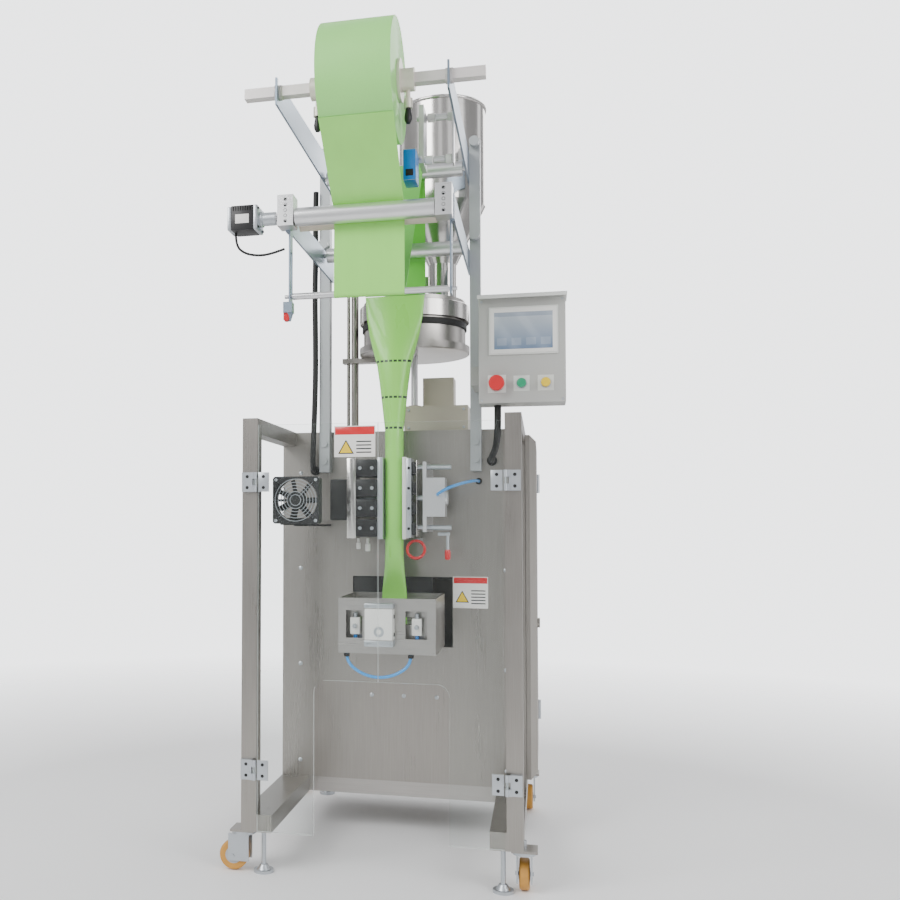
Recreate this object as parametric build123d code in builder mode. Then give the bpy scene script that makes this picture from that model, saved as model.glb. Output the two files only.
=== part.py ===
"""Vertical form fill sealer: a floor-standing packing machine, every sub-part in its own STEP file.

Working frame while modelling: X = 0 on the machine's middle plane, Y = 0 on the front face of the
front posts and growing into the machine, Z = 0 on the floor. All sizes are in millimetres. Before
writing, every piece is moved so that the origin is at the bottom centre of the whole machine.
"""
import math
import os

from build123d import *

# ---- driving dimensions: frame and cabinet -------------------------------------------------------
WIDTH = 700.0            # outside of the two side frames
DEPTH = 880.0            # front post face to rear post face
POST = 40.0              # square tube of the posts and top rails
POST_TOP = 1160.0
BEAM_W = 80.0            # base beam width
BEAM_H = 44.0
BEAM_Z = 110.0           # underside of the base beams
PANEL_Y = 430.0          # front face of the front panel
SHEET = 3.0              # cabinet sheet
PLAY = 0.3               # gap between parts that move past each other
FIT = 0.05               # radial running clearance of shafts and pins
HALF = WIDTH / 2
MID_POST_Y = PANEL_Y
SLOT_X0, SLOT_X1 = -140.0, 148.0
SLOT_Z0, SLOT_Z1 = 540.0, 739.0

# ---- casters and feet ----------------------------------------------------------------------------
WHEEL_R = 37.5
WHEEL_W = 25.0
CASTER_X = HALF
CASTER_INSET = 40.0
TRAIL = 28.0
AXLE_R = 5.0
AXLE_Z = WHEEL_R + 2.0
STEM_R = 6.0
OUTRIGGER_T = 6.0
FOOT_X = HALF - 50.0
FOOT_PAD_R = 25.0

# ---- guard doors ---------------------------------------------------------------------------------
DOOR_T = 8.0
DOOR_GAP = 4.0
DOOR_Z0, DOOR_Z1 = 114.0, 1141.0
SEAM_X = 2.0
NOTCH_X0, NOTCH_X1 = -160.0, 176.0
NOTCH_Z = 499.0
NOTCH_R = 30.0
HINGE_Z = (268.0, 995.0)
HINGE_H = 50.0
PIN_X = HALF - POST + 2.0
DOOR_Y0 = -DOOR_T - 1.0     # front face of the door sheets
PIN_Y = DOOR_Y0 - 5.0
KNUCKLE_R = 4.5
PIN_R = 2.0
LEAF_T = 3.0

# ---- film path -----------------------------------------------------------------------------------
FILM_W = 170.0
FILM_T = 1.0
REEL_Y, REEL_Z = -220.0, 1905.0
ROLL_R = 140.0
CORE_R = 38.0
SHAFT_HALF = 281.0
SHAFT_A = 24.0           # square reel shaft
ARM_T = 5.0
DRIVE_Y, DRIVE_Z, DRIVE_R = -151.0, 1627.0, 22.0
DANCER_Y, DANCER_Z, DANCER_R = -122.0, 1441.0, 8.0
DANCER_TRAVEL = 100.0
TURN_Y, TURN_Z, TURN_R = 300.0, 1870.0, 20.0
GUIDE_Z, GUIDE_R = 1650.0, TURN_R
JOURNAL_R = 6.0
TUBE_Y = 300.0           # axis of the forming tube
TUBE_R = 24.0
TUBE_TOP = 1530.0
NECK_Z = 1150.0
FILM_END_Z = 628.0       # cut edge, just above the knife

# ---- masts and dosing group ----------------------------------------------------------------------
MAST_X, MAST_W = 217.0, 30.0
ARM_X = MAST_X - MAST_W / 2   # the arms' outer faces lie on the masts
MAST_Y0, MAST_Y1 = 390.0, 424.0
MAST_Z0, MAST_Z1 = 1050.0, 1985.0
PAN_X, PAN_Y, PAN_R = 30.0, 517.0, 162.0
PAN_Z = 1390.0
HOPPER_X, HOPPER_Y, HOPPER_R = 112.0, 532.0, 127.0
HOPPER_Z1, HOPPER_Z0 = 2130.0, 1830.0

# ---- sealers, cutter, operator box ---------------------------------------------------------------
JAW_Z0, JAW_Z1 = 848.0, 1073.0
JAW_OPEN = 12.0
CARRIAGE_TRAVEL = 80.0
BOX_X0, BOX_X1 = -124.0, 130.0
BOX_Y0, BOX_Y1 = 130.0, 380.0
BOX_Z0, BOX_Z1 = 552.0, 696.0
HMI_X0, HMI_X1 = 240.0, 458.0
HMI_Y0, HMI_Y1 = 150.0, 240.0
HMI_Z0, HMI_Z1 = 1200.0, 1474.0

pieces = {}
cords = {}


def keep(builder, name):
    """Label a finished sub-part and put it on the list to be written."""
    builder.part.label = name
    pieces[name] = builder.part


def block(x0, x1, y0, y1, z0, z1, mode=Mode.ADD):
    """A box between two corners, joined to the part that is being built."""
    with Locations(((x0 + x1) / 2, (y0 + y1) / 2, (z0 + z1) / 2)):
        Box(abs(x1 - x0), abs(y1 - y0), abs(z1 - z0), mode=mode)


def rod_x(x0, x1, y, z, r, mode=Mode.ADD):
    """A round bar along X."""
    with Locations(Location(((x0 + x1) / 2, y, z), (0, 90, 0))):
        Cylinder(r, abs(x1 - x0), mode=mode)


def rod_y(x, y0, y1, z, r, mode=Mode.ADD):
    """A round bar along Y."""
    with Locations(Location((x, (y0 + y1) / 2, z), (90, 0, 0))):
        Cylinder(r, abs(y1 - y0), mode=mode)


def rod_z(x, y, z0, z1, r, mode=Mode.ADD):
    """A round bar along Z."""
    with Locations(((x, y, (z0 + z1) / 2))):
        Cylinder(r, abs(z1 - z0), mode=mode)


# ---- welded side frames ---------------------------------------------------------------------------
CASTER_SPOTS = {"front_left": (-1, CASTER_INSET), "front_right": (1, CASTER_INSET),
                "rear_left": (-1, DEPTH - CASTER_INSET), "rear_right": (1, DEPTH - CASTER_INSET)}
CASTER_TURN = {"front_left": 180.0, "front_right": 90.0, "rear_left": 180.0, "rear_right": -90.0}

for side, tag in ((-1, "left"), (1, "right")):
    outer, inner, beam = side * HALF, side * (HALF - POST), side * (HALF - BEAM_W)
    with BuildPart() as side_frame:
        for y in (0.0, MID_POST_Y, DEPTH - POST):
            block(outer, inner, y, y + POST, BEAM_Z + BEAM_H, POST_TOP)
        block(outer, inner, 0, DEPTH, POST_TOP - POST, POST_TOP)
        block(outer, beam, 0, DEPTH, BEAM_Z, BEAM_Z + BEAM_H)
        for spot_side, y in CASTER_SPOTS.values():
            if spot_side == side:
                x = side * CASTER_X
                block(x - side * 30, x + side * 32, y - 30, y + 30, BEAM_Z - OUTRIGGER_T, BEAM_Z)
                rod_z(x, y, BEAM_Z - OUTRIGGER_T, BEAM_Z + 20, STEM_R + FIT, mode=Mode.SUBTRACT)
    keep(side_frame, f"{tag}_side_frame")

with BuildPart() as cross_members:
    span = HALF - BEAM_W
    for y in (PANEL_Y + 10, DEPTH - POST):
        block(-span, span, y, y + POST, BEAM_Z, BEAM_Z + BEAM_H)
keep(cross_members, "base_cross_members")

# ---- cabinet --------------------------------------------------------------------------------------
with BuildPart() as front_panel:
    block(-HALF + POST, HALF - POST, PANEL_Y, PANEL_Y + SHEET, BEAM_Z + BEAM_H, POST_TOP)
    block(SLOT_X0, SLOT_X1, PANEL_Y, PANEL_Y + SHEET, SLOT_Z0, SLOT_Z1, mode=Mode.SUBTRACT)
keep(front_panel, "front_panel")

with BuildPart() as cabinet_shell:
    inside = HALF - POST
    block(-HALF + POST, inside, PANEL_Y + SHEET, DEPTH, POST_TOP - SHEET, POST_TOP)
    block(-HALF + POST, inside, DEPTH - SHEET, DEPTH, BEAM_Z + BEAM_H, POST_TOP - SHEET)
    block(-HALF + POST, -HALF + POST + SHEET, PANEL_Y + SHEET, DEPTH - SHEET,
          BEAM_Z + BEAM_H, POST_TOP - SHEET)
    block(-HALF + POST + SHEET, inside, PANEL_Y + SHEET, DEPTH - SHEET,
          BEAM_Z + BEAM_H, BEAM_Z + BEAM_H + SHEET)
keep(cabinet_shell, "cabinet_shell")

COVER_T = 30.0
COVER_X = HALF + 1.0
COVER_Y0, COVER_Y1 = PANEL_Y + 4.0, DEPTH - 10.0
COVER_Z0, COVER_Z1 = 180.0, 1142.0
COVER_PIN_X = COVER_X + COVER_T + 2.0
VENT_ROWS = 14
VENT_PITCH = 25.0
VENT_Z = 660.0
with BuildPart() as side_door:
    block(COVER_X, COVER_X + COVER_T, COVER_Y0, COVER_Y1, COVER_Z0, COVER_Z1)
    outer_edges = side_door.faces().sort_by(Axis.X)[-1].edges()
    chamfer(outer_edges, COVER_T * 0.6)
    block(COVER_X, COVER_X + COVER_T - SHEET, COVER_Y0 + 20, COVER_Y1 - 20,
          COVER_Z0 + 20, COVER_Z1 - 20, mode=Mode.SUBTRACT)
    for row in range(VENT_ROWS):
        z = VENT_Z + row * VENT_PITCH
        block(COVER_X, COVER_X + COVER_T + 1, COVER_Y1 - 90, COVER_Y1 - 45, z, z + 6,
              mode=Mode.SUBTRACT)
    rod_x(COVER_X + COVER_T, COVER_X + COVER_T + 8, COVER_Y0 + 45, 612, 14)
keep(side_door, "side_door")

# ---- casters: swivel forks and wheels --------------------------------------------------------------
FORK_TOP = BEAM_Z - OUTRIGGER_T - PLAY


def caster_fork(x, y, turn):
    """Fork, swivel stem and axle of one caster."""
    with BuildPart() as fork:
        rod_z(0, 0, FORK_TOP - 8, FORK_TOP, 28)
        rod_z(0, 0, FORK_TOP, BEAM_Z + 18, STEM_R)
        for leg in (-1, 1):
            block(-14, TRAIL + 12, leg * 15, leg * 19, AXLE_Z - 12, FORK_TOP - 8)
        rod_y(TRAIL, -22, 22, AXLE_Z, AXLE_R)
    return fork.part.moved(Location((x, y, 0), (0, 0, turn)))


def caster_wheel(x, y, turn):
    """Tyre and hub of one caster."""
    with BuildPart() as wheel:
        rod_y(TRAIL, -WHEEL_W / 2, WHEEL_W / 2, AXLE_Z, WHEEL_R)
        fillet(wheel.edges().filter_by(GeomType.CIRCLE), 5)
        rod_y(TRAIL, -WHEEL_W / 2 - 1, WHEEL_W / 2 + 1, AXLE_Z, 14)
        rod_y(TRAIL, -WHEEL_W, WHEEL_W, AXLE_Z, AXLE_R + FIT, mode=Mode.SUBTRACT)
    return wheel.part.moved(Location((x, y, 0), (0, 0, turn)))


for spot, (side, y) in CASTER_SPOTS.items():
    for maker, name in ((caster_fork, "caster_fork_"), (caster_wheel, "caster_wheel_")):
        solid = maker(side * CASTER_X, y, CASTER_TURN[spot])
        solid.label = name + spot
        pieces[solid.label] = solid

with BuildPart() as levelling_feet:
    for side, y in CASTER_SPOTS.values():
        x = side * FOOT_X
        rod_z(x, y, 0, 8, FOOT_PAD_R)
        with Locations((x, y, 14)):
            Cone(18, 10, 12)
        rod_z(x, y, 20, BEAM_Z, STEM_R)
        rod_z(x, y, BEAM_Z - 10, BEAM_Z, 10)
keep(levelling_feet, "levelling_feet")

# ---- guard doors and their hinges ------------------------------------------------------------------
KNUCKLE_THIRD = HINGE_H / 3

for side, tag in ((-1, "left"), (1, "right")):
    free = SEAM_X + side * 1.0
    hung = side * (HALF - POST - DOOR_GAP)
    x0, x1 = min(free, hung), max(free, hung)
    with BuildPart() as guard_door:
        block(x0, x1, DOOR_Y0, DOOR_Y0 + DOOR_T, DOOR_Z0, DOOR_Z1)
        with BuildSketch(Plane.XZ) as notch:
            with BuildLine():
                Polyline((NOTCH_X0, DOOR_Z0 - 10), (NOTCH_X0, NOTCH_Z), (NOTCH_X1, NOTCH_Z),
                         (NOTCH_X1, DOOR_Z0 - 10), close=True)
            make_face()
            fillet(notch.vertices().group_by(Axis.Y)[-1], NOTCH_R)
        extrude(amount=DOOR_T * 2, both=True, mode=Mode.SUBTRACT)
        for z in HINGE_Z:
            pin = side * PIN_X
            low, high = z - KNUCKLE_THIRD / 2 + PLAY, z + KNUCKLE_THIRD / 2 - PLAY
            block(pin - side * 6, pin - side * 36, DOOR_Y0 - LEAF_T, DOOR_Y0,
                  z - HINGE_H / 2, z + HINGE_H / 2)
            block(pin, pin - side * 9, PIN_Y, PIN_Y + 3, low, high)
            rod_z(pin, PIN_Y, low, high, KNUCKLE_R)
            rod_z(pin, PIN_Y, low - 1, high + 1, PIN_R + FIT, mode=Mode.SUBTRACT)
    keep(guard_door, f"{tag}_guard_door")

with BuildPart() as post_hinge_leaves:
    for side in (-1, 1):
        pin = side * PIN_X
        for z in HINGE_Z:
            block(pin + side * 8, pin + side * 36, DOOR_Y0 - LEAF_T, 0,
                  z - HINGE_H / 2, z + HINGE_H / 2)
            for low in (z - HINGE_H / 2, z + KNUCKLE_THIRD / 2):
                block(pin, pin + side * 11, PIN_Y - 1, PIN_Y + 3, low, low + KNUCKLE_THIRD)
                rod_z(pin, PIN_Y, low, low + KNUCKLE_THIRD, KNUCKLE_R)
            rod_z(pin, PIN_Y, z - HINGE_H / 2, z + HINGE_H / 2, PIN_R)
    for z in (COVER_Z0 + 120, COVER_Z1 - 120):
        block(HALF - POST + 5, COVER_PIN_X + 4, DEPTH, DEPTH + 4, z - 30, z + 30)
        rod_z(COVER_PIN_X, DEPTH + 2, z - 30, z + 30, 6)
keep(post_hinge_leaves, "post_hinge_leaves")

# ---- operator box ----------------------------------------------------------------------------------
BUTTON_Y = HMI_Y0
BUTTON_Z = HMI_Z0 + 50
BUTTON_STEM_R = 8.0
BUTTONS = {"emergency_stop": (HMI_X0 + 46, 20.0, 24.0), "start_button": (HMI_X0 + 108, 12.0, 12.0),
           "reset_button": (HMI_X0 + 168, 12.0, 12.0)}
BUTTON_PRESS = 5.0
with BuildPart() as hmi_box:
    block(HMI_X0, HMI_X1, HMI_Y0, HMI_Y1, HMI_Z0, HMI_Z1)
    block(HMI_X0 + 4, HMI_X1 - 4, HMI_Y0 + 4, HMI_Y1 - 3, HMI_Z0 + 4, HMI_Z1 - 4, mode=Mode.SUBTRACT)
    block(HMI_X0 - 2, HMI_X1 + 4, HMI_Y0 - 26, HMI_Y1, HMI_Z1, HMI_Z1 + 3)
    for x, _, _ in BUTTONS.values():
        rod_y(x, HMI_Y0 - 1, HMI_Y0 + 5, BUTTON_Z, BUTTON_STEM_R + FIT, mode=Mode.SUBTRACT)
    block(MAST_X - 2, MAST_X + MAST_W / 2 + 14, HMI_Y1, MAST_Y0, HMI_Z0 + 60, HMI_Z0 + 110)
    block(MAST_X + MAST_W / 2, HMI_X0 + 10, HMI_Y1 - 6, HMI_Y1, HMI_Z0 + 60, HMI_Z0 + 110)

SCREEN_X0, SCREEN_X1 = HMI_X0 + 30, HMI_X1 - 22
SCREEN_Z0, SCREEN_Z1 = HMI_Z1 - 146, HMI_Z1 - 30
with hmi_box:
    block(SCREEN_X0, SCREEN_X1, HMI_Y0 - 6, HMI_Y0, SCREEN_Z0, SCREEN_Z1)
keep(hmi_box, "hmi_box")

for name, (x, head_r, head_h) in BUTTONS.items():
    with BuildPart() as button:
        face_y = HMI_Y0 - BUTTON_PRESS - 1
        rod_y(x, face_y - head_h, face_y, BUTTON_Z, head_r)
        fillet(button.faces().sort_by(Axis.Y)[0].edges(), 3)
        rod_y(x, face_y, HMI_Y0 + 20, BUTTON_Z, BUTTON_STEM_R)
    keep(button, name)

# ---- masts, arms and clamp knobs -------------------------------------------------------------------
BRACKET_H = 95.0
UPPER_ARM_Y0 = REEL_Y - 28
LOWER_ARM_Y0 = DRIVE_Y + 24
ARM_LOWER_Z0, ARM_LOWER_Z1 = 1602.0, 1665.0
NECK_R = 17.4            # round neck of the reel shaft in the arm's open notch
with BuildPart() as masts:
    for side in (-1, 1):
        x = side * MAST_X
        block(x - MAST_W / 2, x + MAST_W / 2, MAST_Y0, MAST_Y1, MAST_Z0 - 10, MAST_Z1)
        block(x - MAST_W / 2, x + MAST_W / 2, MAST_Y1, PANEL_Y, MAST_Z0, MAST_Z0 + BRACKET_H)
        for z in (MAST_Z0 + 22, MAST_Z0 + 72):
            rod_y(x, MAST_Y0 - 6, MAST_Y0, z, 9)
        for z in (REEL_Z + 64, ARM_LOWER_Z1 + 37):
            rod_y(x, MAST_Y0 - 14, MAST_Y0, z, 6)
            rod_y(x, MAST_Y0 - 30, MAST_Y0 - 14, z, 14)
keep(masts, "masts")

with BuildPart() as upper_arms:
    for x0 in (-ARM_X, ARM_X - ARM_T):
        with BuildSketch(Plane.YZ.offset(x0)):
            with BuildLine():
                Polyline((UPPER_ARM_Y0, REEL_Z - 38), (UPPER_ARM_Y0, REEL_Z + 26),
                         (UPPER_ARM_Y0 + 60, REEL_Z + 26), (MAST_Y1, REEL_Z + 42),
                         (MAST_Y1, REEL_Z - 43), (MAST_Y0 - 60, REEL_Z - 43), close=True)
            make_face()
        extrude(amount=ARM_T)
        notch_r = NECK_R + FIT
        block(x0, x0 + ARM_T, REEL_Y - notch_r, REEL_Y + notch_r, REEL_Z, REEL_Z + 60,
              mode=Mode.SUBTRACT)
        rod_x(x0, x0 + ARM_T, REEL_Y, REEL_Z, notch_r, mode=Mode.SUBTRACT)
        rod_x(x0, x0 + ARM_T, TURN_Y, TURN_Z, JOURNAL_R + FIT, mode=Mode.SUBTRACT)
keep(upper_arms, "upper_arms")

PINCH_Y = DRIVE_Y + 2 * DRIVE_R + FILM_T + 2 * PLAY
with BuildPart() as lower_arms:
    for x0 in (-ARM_X, ARM_X - ARM_T):
        block(x0, x0 + ARM_T, LOWER_ARM_Y0, MAST_Y1, ARM_LOWER_Z0, ARM_LOWER_Z1)
        rod_x(x0, x0 + ARM_T, TUBE_Y, GUIDE_Z, JOURNAL_R + FIT, mode=Mode.SUBTRACT)
        rod_x(x0, x0 + ARM_T, PINCH_Y, DRIVE_Z, JOURNAL_R + FIT, mode=Mode.SUBTRACT)
keep(lower_arms, "lower_arms")

# ---- reel: shaft, chucks and film roll -------------------------------------------------------------
with BuildPart() as reel_shaft:
    block(-SHAFT_HALF, SHAFT_HALF, REEL_Y - SHAFT_A / 2, REEL_Y + SHAFT_A / 2,
          REEL_Z - SHAFT_A / 2, REEL_Z + SHAFT_A / 2)
    for side in (-1, 1):
        rod_x(side * (ARM_X - ARM_T - 6), side * (ARM_X + 6), REEL_Y, REEL_Z, NECK_R)
keep(reel_shaft, "reel_shaft")

with BuildPart() as film_roll:
    rod_x(-FILM_W / 2, FILM_W / 2, REEL_Y, REEL_Z, ROLL_R)
    rod_x(-FILM_W / 2, FILM_W / 2, REEL_Y, REEL_Z, CORE_R, mode=Mode.SUBTRACT)
keep(film_roll, "film_roll")

with BuildPart() as reel_chucks:
    for side in (-1, 1):
        rod_x(side * (FILM_W / 2 - 20), side * (FILM_W / 2), REEL_Y, REEL_Z, CORE_R)
        rod_x(side * (FILM_W / 2), side * (FILM_W / 2 + 6), REEL_Y, REEL_Z, CORE_R + 10)
        rod_x(side * (FILM_W / 2 + 6), side * (FILM_W / 2 + 36), REEL_Y, REEL_Z, 26)
        x = side * (FILM_W / 2 + 21)
        rod_z(x, REEL_Y, REEL_Z - 44, REEL_Z - 24, 5)
        rod_z(x, REEL_Y, REEL_Z - 66, REEL_Z - 44, 10)
    block(-FILM_W, FILM_W, REEL_Y - SHAFT_A / 2, REEL_Y + SHAFT_A / 2, REEL_Z - SHAFT_A / 2,
          REEL_Z + SHAFT_A / 2, mode=Mode.SUBTRACT)
keep(reel_chucks, "reel_chucks")

# ---- unwind drive ----------------------------------------------------------------------------------
BLOCK_T = 40.0
BLOCK_Y0, BLOCK_Y1 = DRIVE_Y - 24, DRIVE_Y + 24
BLOCK_Z0, BLOCK_Z1 = 1602.0, 1677.0
BLOCKS = ((-ARM_X - 13, -ARM_X + 26), (ARM_X - 41, ARM_X - 2))
MOTOR_X0, MOTOR_X1 = -339.0, -263.0
MOTOR_A = 60.0
with BuildPart() as bearing_blocks:
    for x0, x1 in BLOCKS:
        block(x0, x1, BLOCK_Y0, BLOCK_Y1, BLOCK_Z0, BLOCK_Z1)
        rod_x(x0 - 1, x1 + 1, DRIVE_Y, DRIVE_Z, JOURNAL_R + FIT, mode=Mode.SUBTRACT)
        for z in (BLOCK_Z0 + 10, BLOCK_Z0 + 48, BLOCK_Z0 + 64):
            rod_y((x0 + x1) / 2, BLOCK_Y0, BLOCK_Y0 + 12, z, 3, mode=Mode.SUBTRACT)
keep(bearing_blocks, "bearing_blocks")

with BuildPart() as drive_roller:
    rod_x(BLOCKS[0][1] + 2, BLOCKS[1][0] - 2, DRIVE_Y, DRIVE_Z, DRIVE_R)
    rod_x(-ARM_X - 40, ARM_X - 2, DRIVE_Y, DRIVE_Z, JOURNAL_R)
    rod_x(-ARM_X - 42, -ARM_X - 20, DRIVE_Y, DRIVE_Z, 13)
keep(drive_roller, "drive_roller")

NIP_Y = DRIVE_Y + DRIVE_R + PLAY + FILM_T / 2
with BuildPart() as pinch_roller:
    rod_x(-ARM_X + 28, ARM_X - 43, PINCH_Y, DRIVE_Z, DRIVE_R)
    rod_x(-ARM_X, ARM_X, PINCH_Y, DRIVE_Z, JOURNAL_R)
keep(pinch_roller, "pinch_roller")

with BuildPart() as unwind_motor:
    block(MOTOR_X0, MOTOR_X1, DRIVE_Y - MOTOR_A / 2, DRIVE_Y + MOTOR_A / 2,
          DRIVE_Z - MOTOR_A / 2, DRIVE_Z + MOTOR_A / 2)
    chamfer(unwind_motor.edges().filter_by(Axis.X), 4)
    for y in (-24, 24):
        block(MOTOR_X1, -ARM_X - 13, DRIVE_Y + y - 4, DRIVE_Y + y + 4, DRIVE_Z - 22, DRIVE_Z + 22)
    rod_x(MOTOR_X1, MOTOR_X1 + 14, DRIVE_Y, DRIVE_Z, 8)
keep(unwind_motor, "unwind_motor")

# ---- dancer and guide rollers ----------------------------------------------------------------------
STRIP_X = ARM_X - ARM_T - 1
with BuildPart() as dancer_guides:
    for side in (-1, 1):
        x0, x1 = side * (STRIP_X - 4), side * STRIP_X
        block(x0, x1, DANCER_Y - 13, DANCER_Y + 13, DANCER_Z - 14, ARM_LOWER_Z0)
        block(x0, x1, DANCER_Y - 5, DANCER_Y + 5, DANCER_Z - 5, DANCER_Z + DANCER_TRAVEL + 8,
              mode=Mode.SUBTRACT)
        block(x0, side * (ARM_X + 2), DANCER_Y - 13, DANCER_Y + 13, ARM_LOWER_Z0 - 4, ARM_LOWER_Z0)
    block(-ARM_X - 8, -ARM_X + 14, DANCER_Y - 12, DANCER_Y + 12, DANCER_Z - 40, DANCER_Z - 14)
    with Locations((-ARM_X + 6, DANCER_Y, DANCER_Z - 50)):
        Cone(3, 9, 20)
keep(dancer_guides, "dancer_guides")

with BuildPart() as dancer_roller:
    rod_x(-STRIP_X + 8, STRIP_X - 8, DANCER_Y, DANCER_Z, DANCER_R)
    rod_x(-STRIP_X - 12, STRIP_X + 12, DANCER_Y, DANCER_Z, 4.5)
keep(dancer_roller, "dancer_roller")

with BuildPart() as turn_roller:
    rod_x(-ARM_X + 12, ARM_X - 12, TURN_Y, TURN_Z, TURN_R)
    rod_x(-ARM_X, ARM_X, TURN_Y, TURN_Z, JOURNAL_R)
keep(turn_roller, "turn_roller")

with BuildPart() as lower_guide_roller:
    rod_x(-ARM_X + 12, ARM_X - 12, TUBE_Y, GUIDE_Z, GUIDE_R)
    rod_x(-ARM_X, ARM_X, TUBE_Y, GUIDE_Z, JOURNAL_R)
keep(lower_guide_roller, "lower_guide_roller")

EYE_Y, EYE_Z = -60.0, 1772.0
SPREADER_Z = REEL_Z - 5
with BuildPart() as film_eye:
    for z, y in ((EYE_Z, EYE_Y), (SPREADER_Z, 0.0)):
        rod_x(100, ARM_X - ARM_T, y, z, 6)
    block(ARM_X - ARM_T - 4, ARM_X - ARM_T, EYE_Y - 14, EYE_Y + 14, EYE_Z - 14, REEL_Z - 20)
    block(112, 124, EYE_Y - 8, 8, EYE_Z - 8, SPREADER_Z + 8)
    block(82, 112, EYE_Y - 70, EYE_Y - 12, EYE_Z - 68, EYE_Z + 6)
    block(82, 118, EYE_Y - 20, EYE_Y + 8, EYE_Z + 2, EYE_Z + 10)
keep(film_eye, "film_eye")

# ---- dosing group: hopper, pan, cup disc and their stand -------------------------------------------
WALL = 2.0
OUTLET_R = 42.0
OUTLET_Z = 1560.0
with BuildPart() as hopper:
    with BuildSketch(Plane.XZ) as wall:
        with BuildLine():
            Polyline((HOPPER_R, HOPPER_Z1), (HOPPER_R, HOPPER_Z0), (OUTLET_R + 10, OUTLET_Z + 120),
                     (OUTLET_R, OUTLET_Z + 100), (OUTLET_R, OUTLET_Z), (OUTLET_R - WALL, OUTLET_Z),
                     (OUTLET_R - WALL, OUTLET_Z + 101), (OUTLET_R + 8, OUTLET_Z + 121),
                     (HOPPER_R - WALL, HOPPER_Z0), (HOPPER_R - WALL, HOPPER_Z1), close=True)
        make_face()
    revolve(axis=Axis.Z)
    with Locations((0, 0, HOPPER_Z1 - 6)):
        Torus(HOPPER_R, 5)
    block(-HOPPER_R - 60, -OUTLET_R + 1, -6, 6, OUTLET_Z + 40, OUTLET_Z + 70)
hopper.part = hopper.part.moved(Location((HOPPER_X, HOPPER_Y, 0)))
keep(hopper, "hopper")

DISC_Z = PAN_Z + 30
SPINDLE_R = 10.0
CUP_RING_R = 118.0
CUP_R = 18.0
CUPS = 8
with BuildPart() as dosing_pan:
    rod_z(PAN_X, PAN_Y, PAN_Z, PAN_Z + 22, PAN_R)
    fillet(dosing_pan.faces().sort_by(Axis.Z)[0].edges(), 4)
    rod_z(PAN_X, PAN_Y, PAN_Z + 22, PAN_Z + 155, PAN_R - 12)
    rod_z(PAN_X, PAN_Y, PAN_Z + 22, PAN_Z + 156, PAN_R - 14, mode=Mode.SUBTRACT)
    rod_z(PAN_X, PAN_Y, PAN_Z - 1, PAN_Z + 30, SPINDLE_R + FIT, mode=Mode.SUBTRACT)
    rod_z(PAN_X, PAN_Y - CUP_RING_R, PAN_Z - 1, PAN_Z + 30, CUP_R, mode=Mode.SUBTRACT)
keep(dosing_pan, "dosing_pan")

with BuildPart() as cup_disc:
    rod_z(PAN_X, PAN_Y, DISC_Z, DISC_Z + 24, PAN_R - 18)
    with Locations((PAN_X, PAN_Y, DISC_Z + 12)):
        with PolarLocations(CUP_RING_R, CUPS):
            Cylinder(CUP_R, 30, mode=Mode.SUBTRACT)
    rod_z(PAN_X, PAN_Y, POST_TOP + 82, DISC_Z, SPINDLE_R)
    rod_z(PAN_X, PAN_Y, DISC_Z + 24, DISC_Z + 40, 16)
keep(cup_disc, "cup_disc")

COLUMN_X, COLUMN_Y = -152.0, HOPPER_Y
HOUSING_H = 76.0
with BuildPart() as feeder_stand:
    rod_z(COLUMN_X, COLUMN_Y, POST_TOP, PAN_Z + 260, 11)
    rod_z(COLUMN_X - 20, COLUMN_Y, POST_TOP, PAN_Z + 200, 5)
    block(COLUMN_X - 36, COLUMN_X + 24, COLUMN_Y - 24, COLUMN_Y + 24, POST_TOP, POST_TOP + 14)
    block(COLUMN_X - 36, PAN_X - 70, COLUMN_Y - 16, COLUMN_Y + 16, PAN_Z - 14, PAN_Z)
    block(COLUMN_X - 30, HOPPER_X - HOPPER_R - 60, COLUMN_Y - 6, COLUMN_Y + 6,
          OUTLET_Z + 40, OUTLET_Z + 70)
keep(feeder_stand, "feeder_stand")

with BuildPart() as feeder_drive:
    block(5, 190, 472, 640, POST_TOP, POST_TOP + HOUSING_H)
    block(50, 142, 560, 640, POST_TOP + HOUSING_H, POST_TOP + 170)
    rod_z(PAN_X, PAN_Y, POST_TOP + HOUSING_H - 2, POST_TOP + HOUSING_H + 6 - PLAY, 18)
keep(feeder_drive, "feeder_drive")

CHUTE_Z0, CHUTE_Z1 = 1290.0, PAN_Z - PLAY
CHUTE_Y1 = PAN_Y - CUP_RING_R
INNER_R = TUBE_R - 4.0
with BuildPart() as forming_tube:
    rod_z(0, TUBE_Y, JAW_Z1 + 10, CHUTE_Z0, INNER_R)
    with BuildSketch(Plane((0, TUBE_Y, CHUTE_Z0))):
        Circle(INNER_R)
    with BuildSketch(Plane((PAN_X, CHUTE_Y1, CHUTE_Z1))):
        Circle(INNER_R + 4)
    loft()
    block(-40, 4, CHUTE_Y1 - 10, 456, CHUTE_Z1 - 26, CHUTE_Z1 - 18)
    with BuildSketch(Plane((0, TUBE_Y, CHUTE_Z0))):
        Circle(INNER_R - 2)
    with BuildSketch(Plane((PAN_X, CHUTE_Y1, CHUTE_Z1))):
        Circle(INNER_R + 2)
    loft(mode=Mode.SUBTRACT)
    rod_z(0, TUBE_Y, JAW_Z1, CHUTE_Z0 + 1, INNER_R - 2, mode=Mode.SUBTRACT)
    block(-40, -24, 440, 456, POST_TOP, CHUTE_Z1 - 20)
keep(forming_tube, "forming_tube")

# ---- packaging film --------------------------------------------------------------------------------
def ribbon(points, name):
    """A flat strip of film that follows points in the YZ plane."""
    with BuildPart() as strip:
        with BuildSketch(Plane.YZ) as section:
            with BuildLine() as path:
                Polyline(points)
            trace(path.line, line_width=FILM_T)
        extrude(amount=FILM_W / 2, both=True)
    keep(strip, name)


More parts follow.
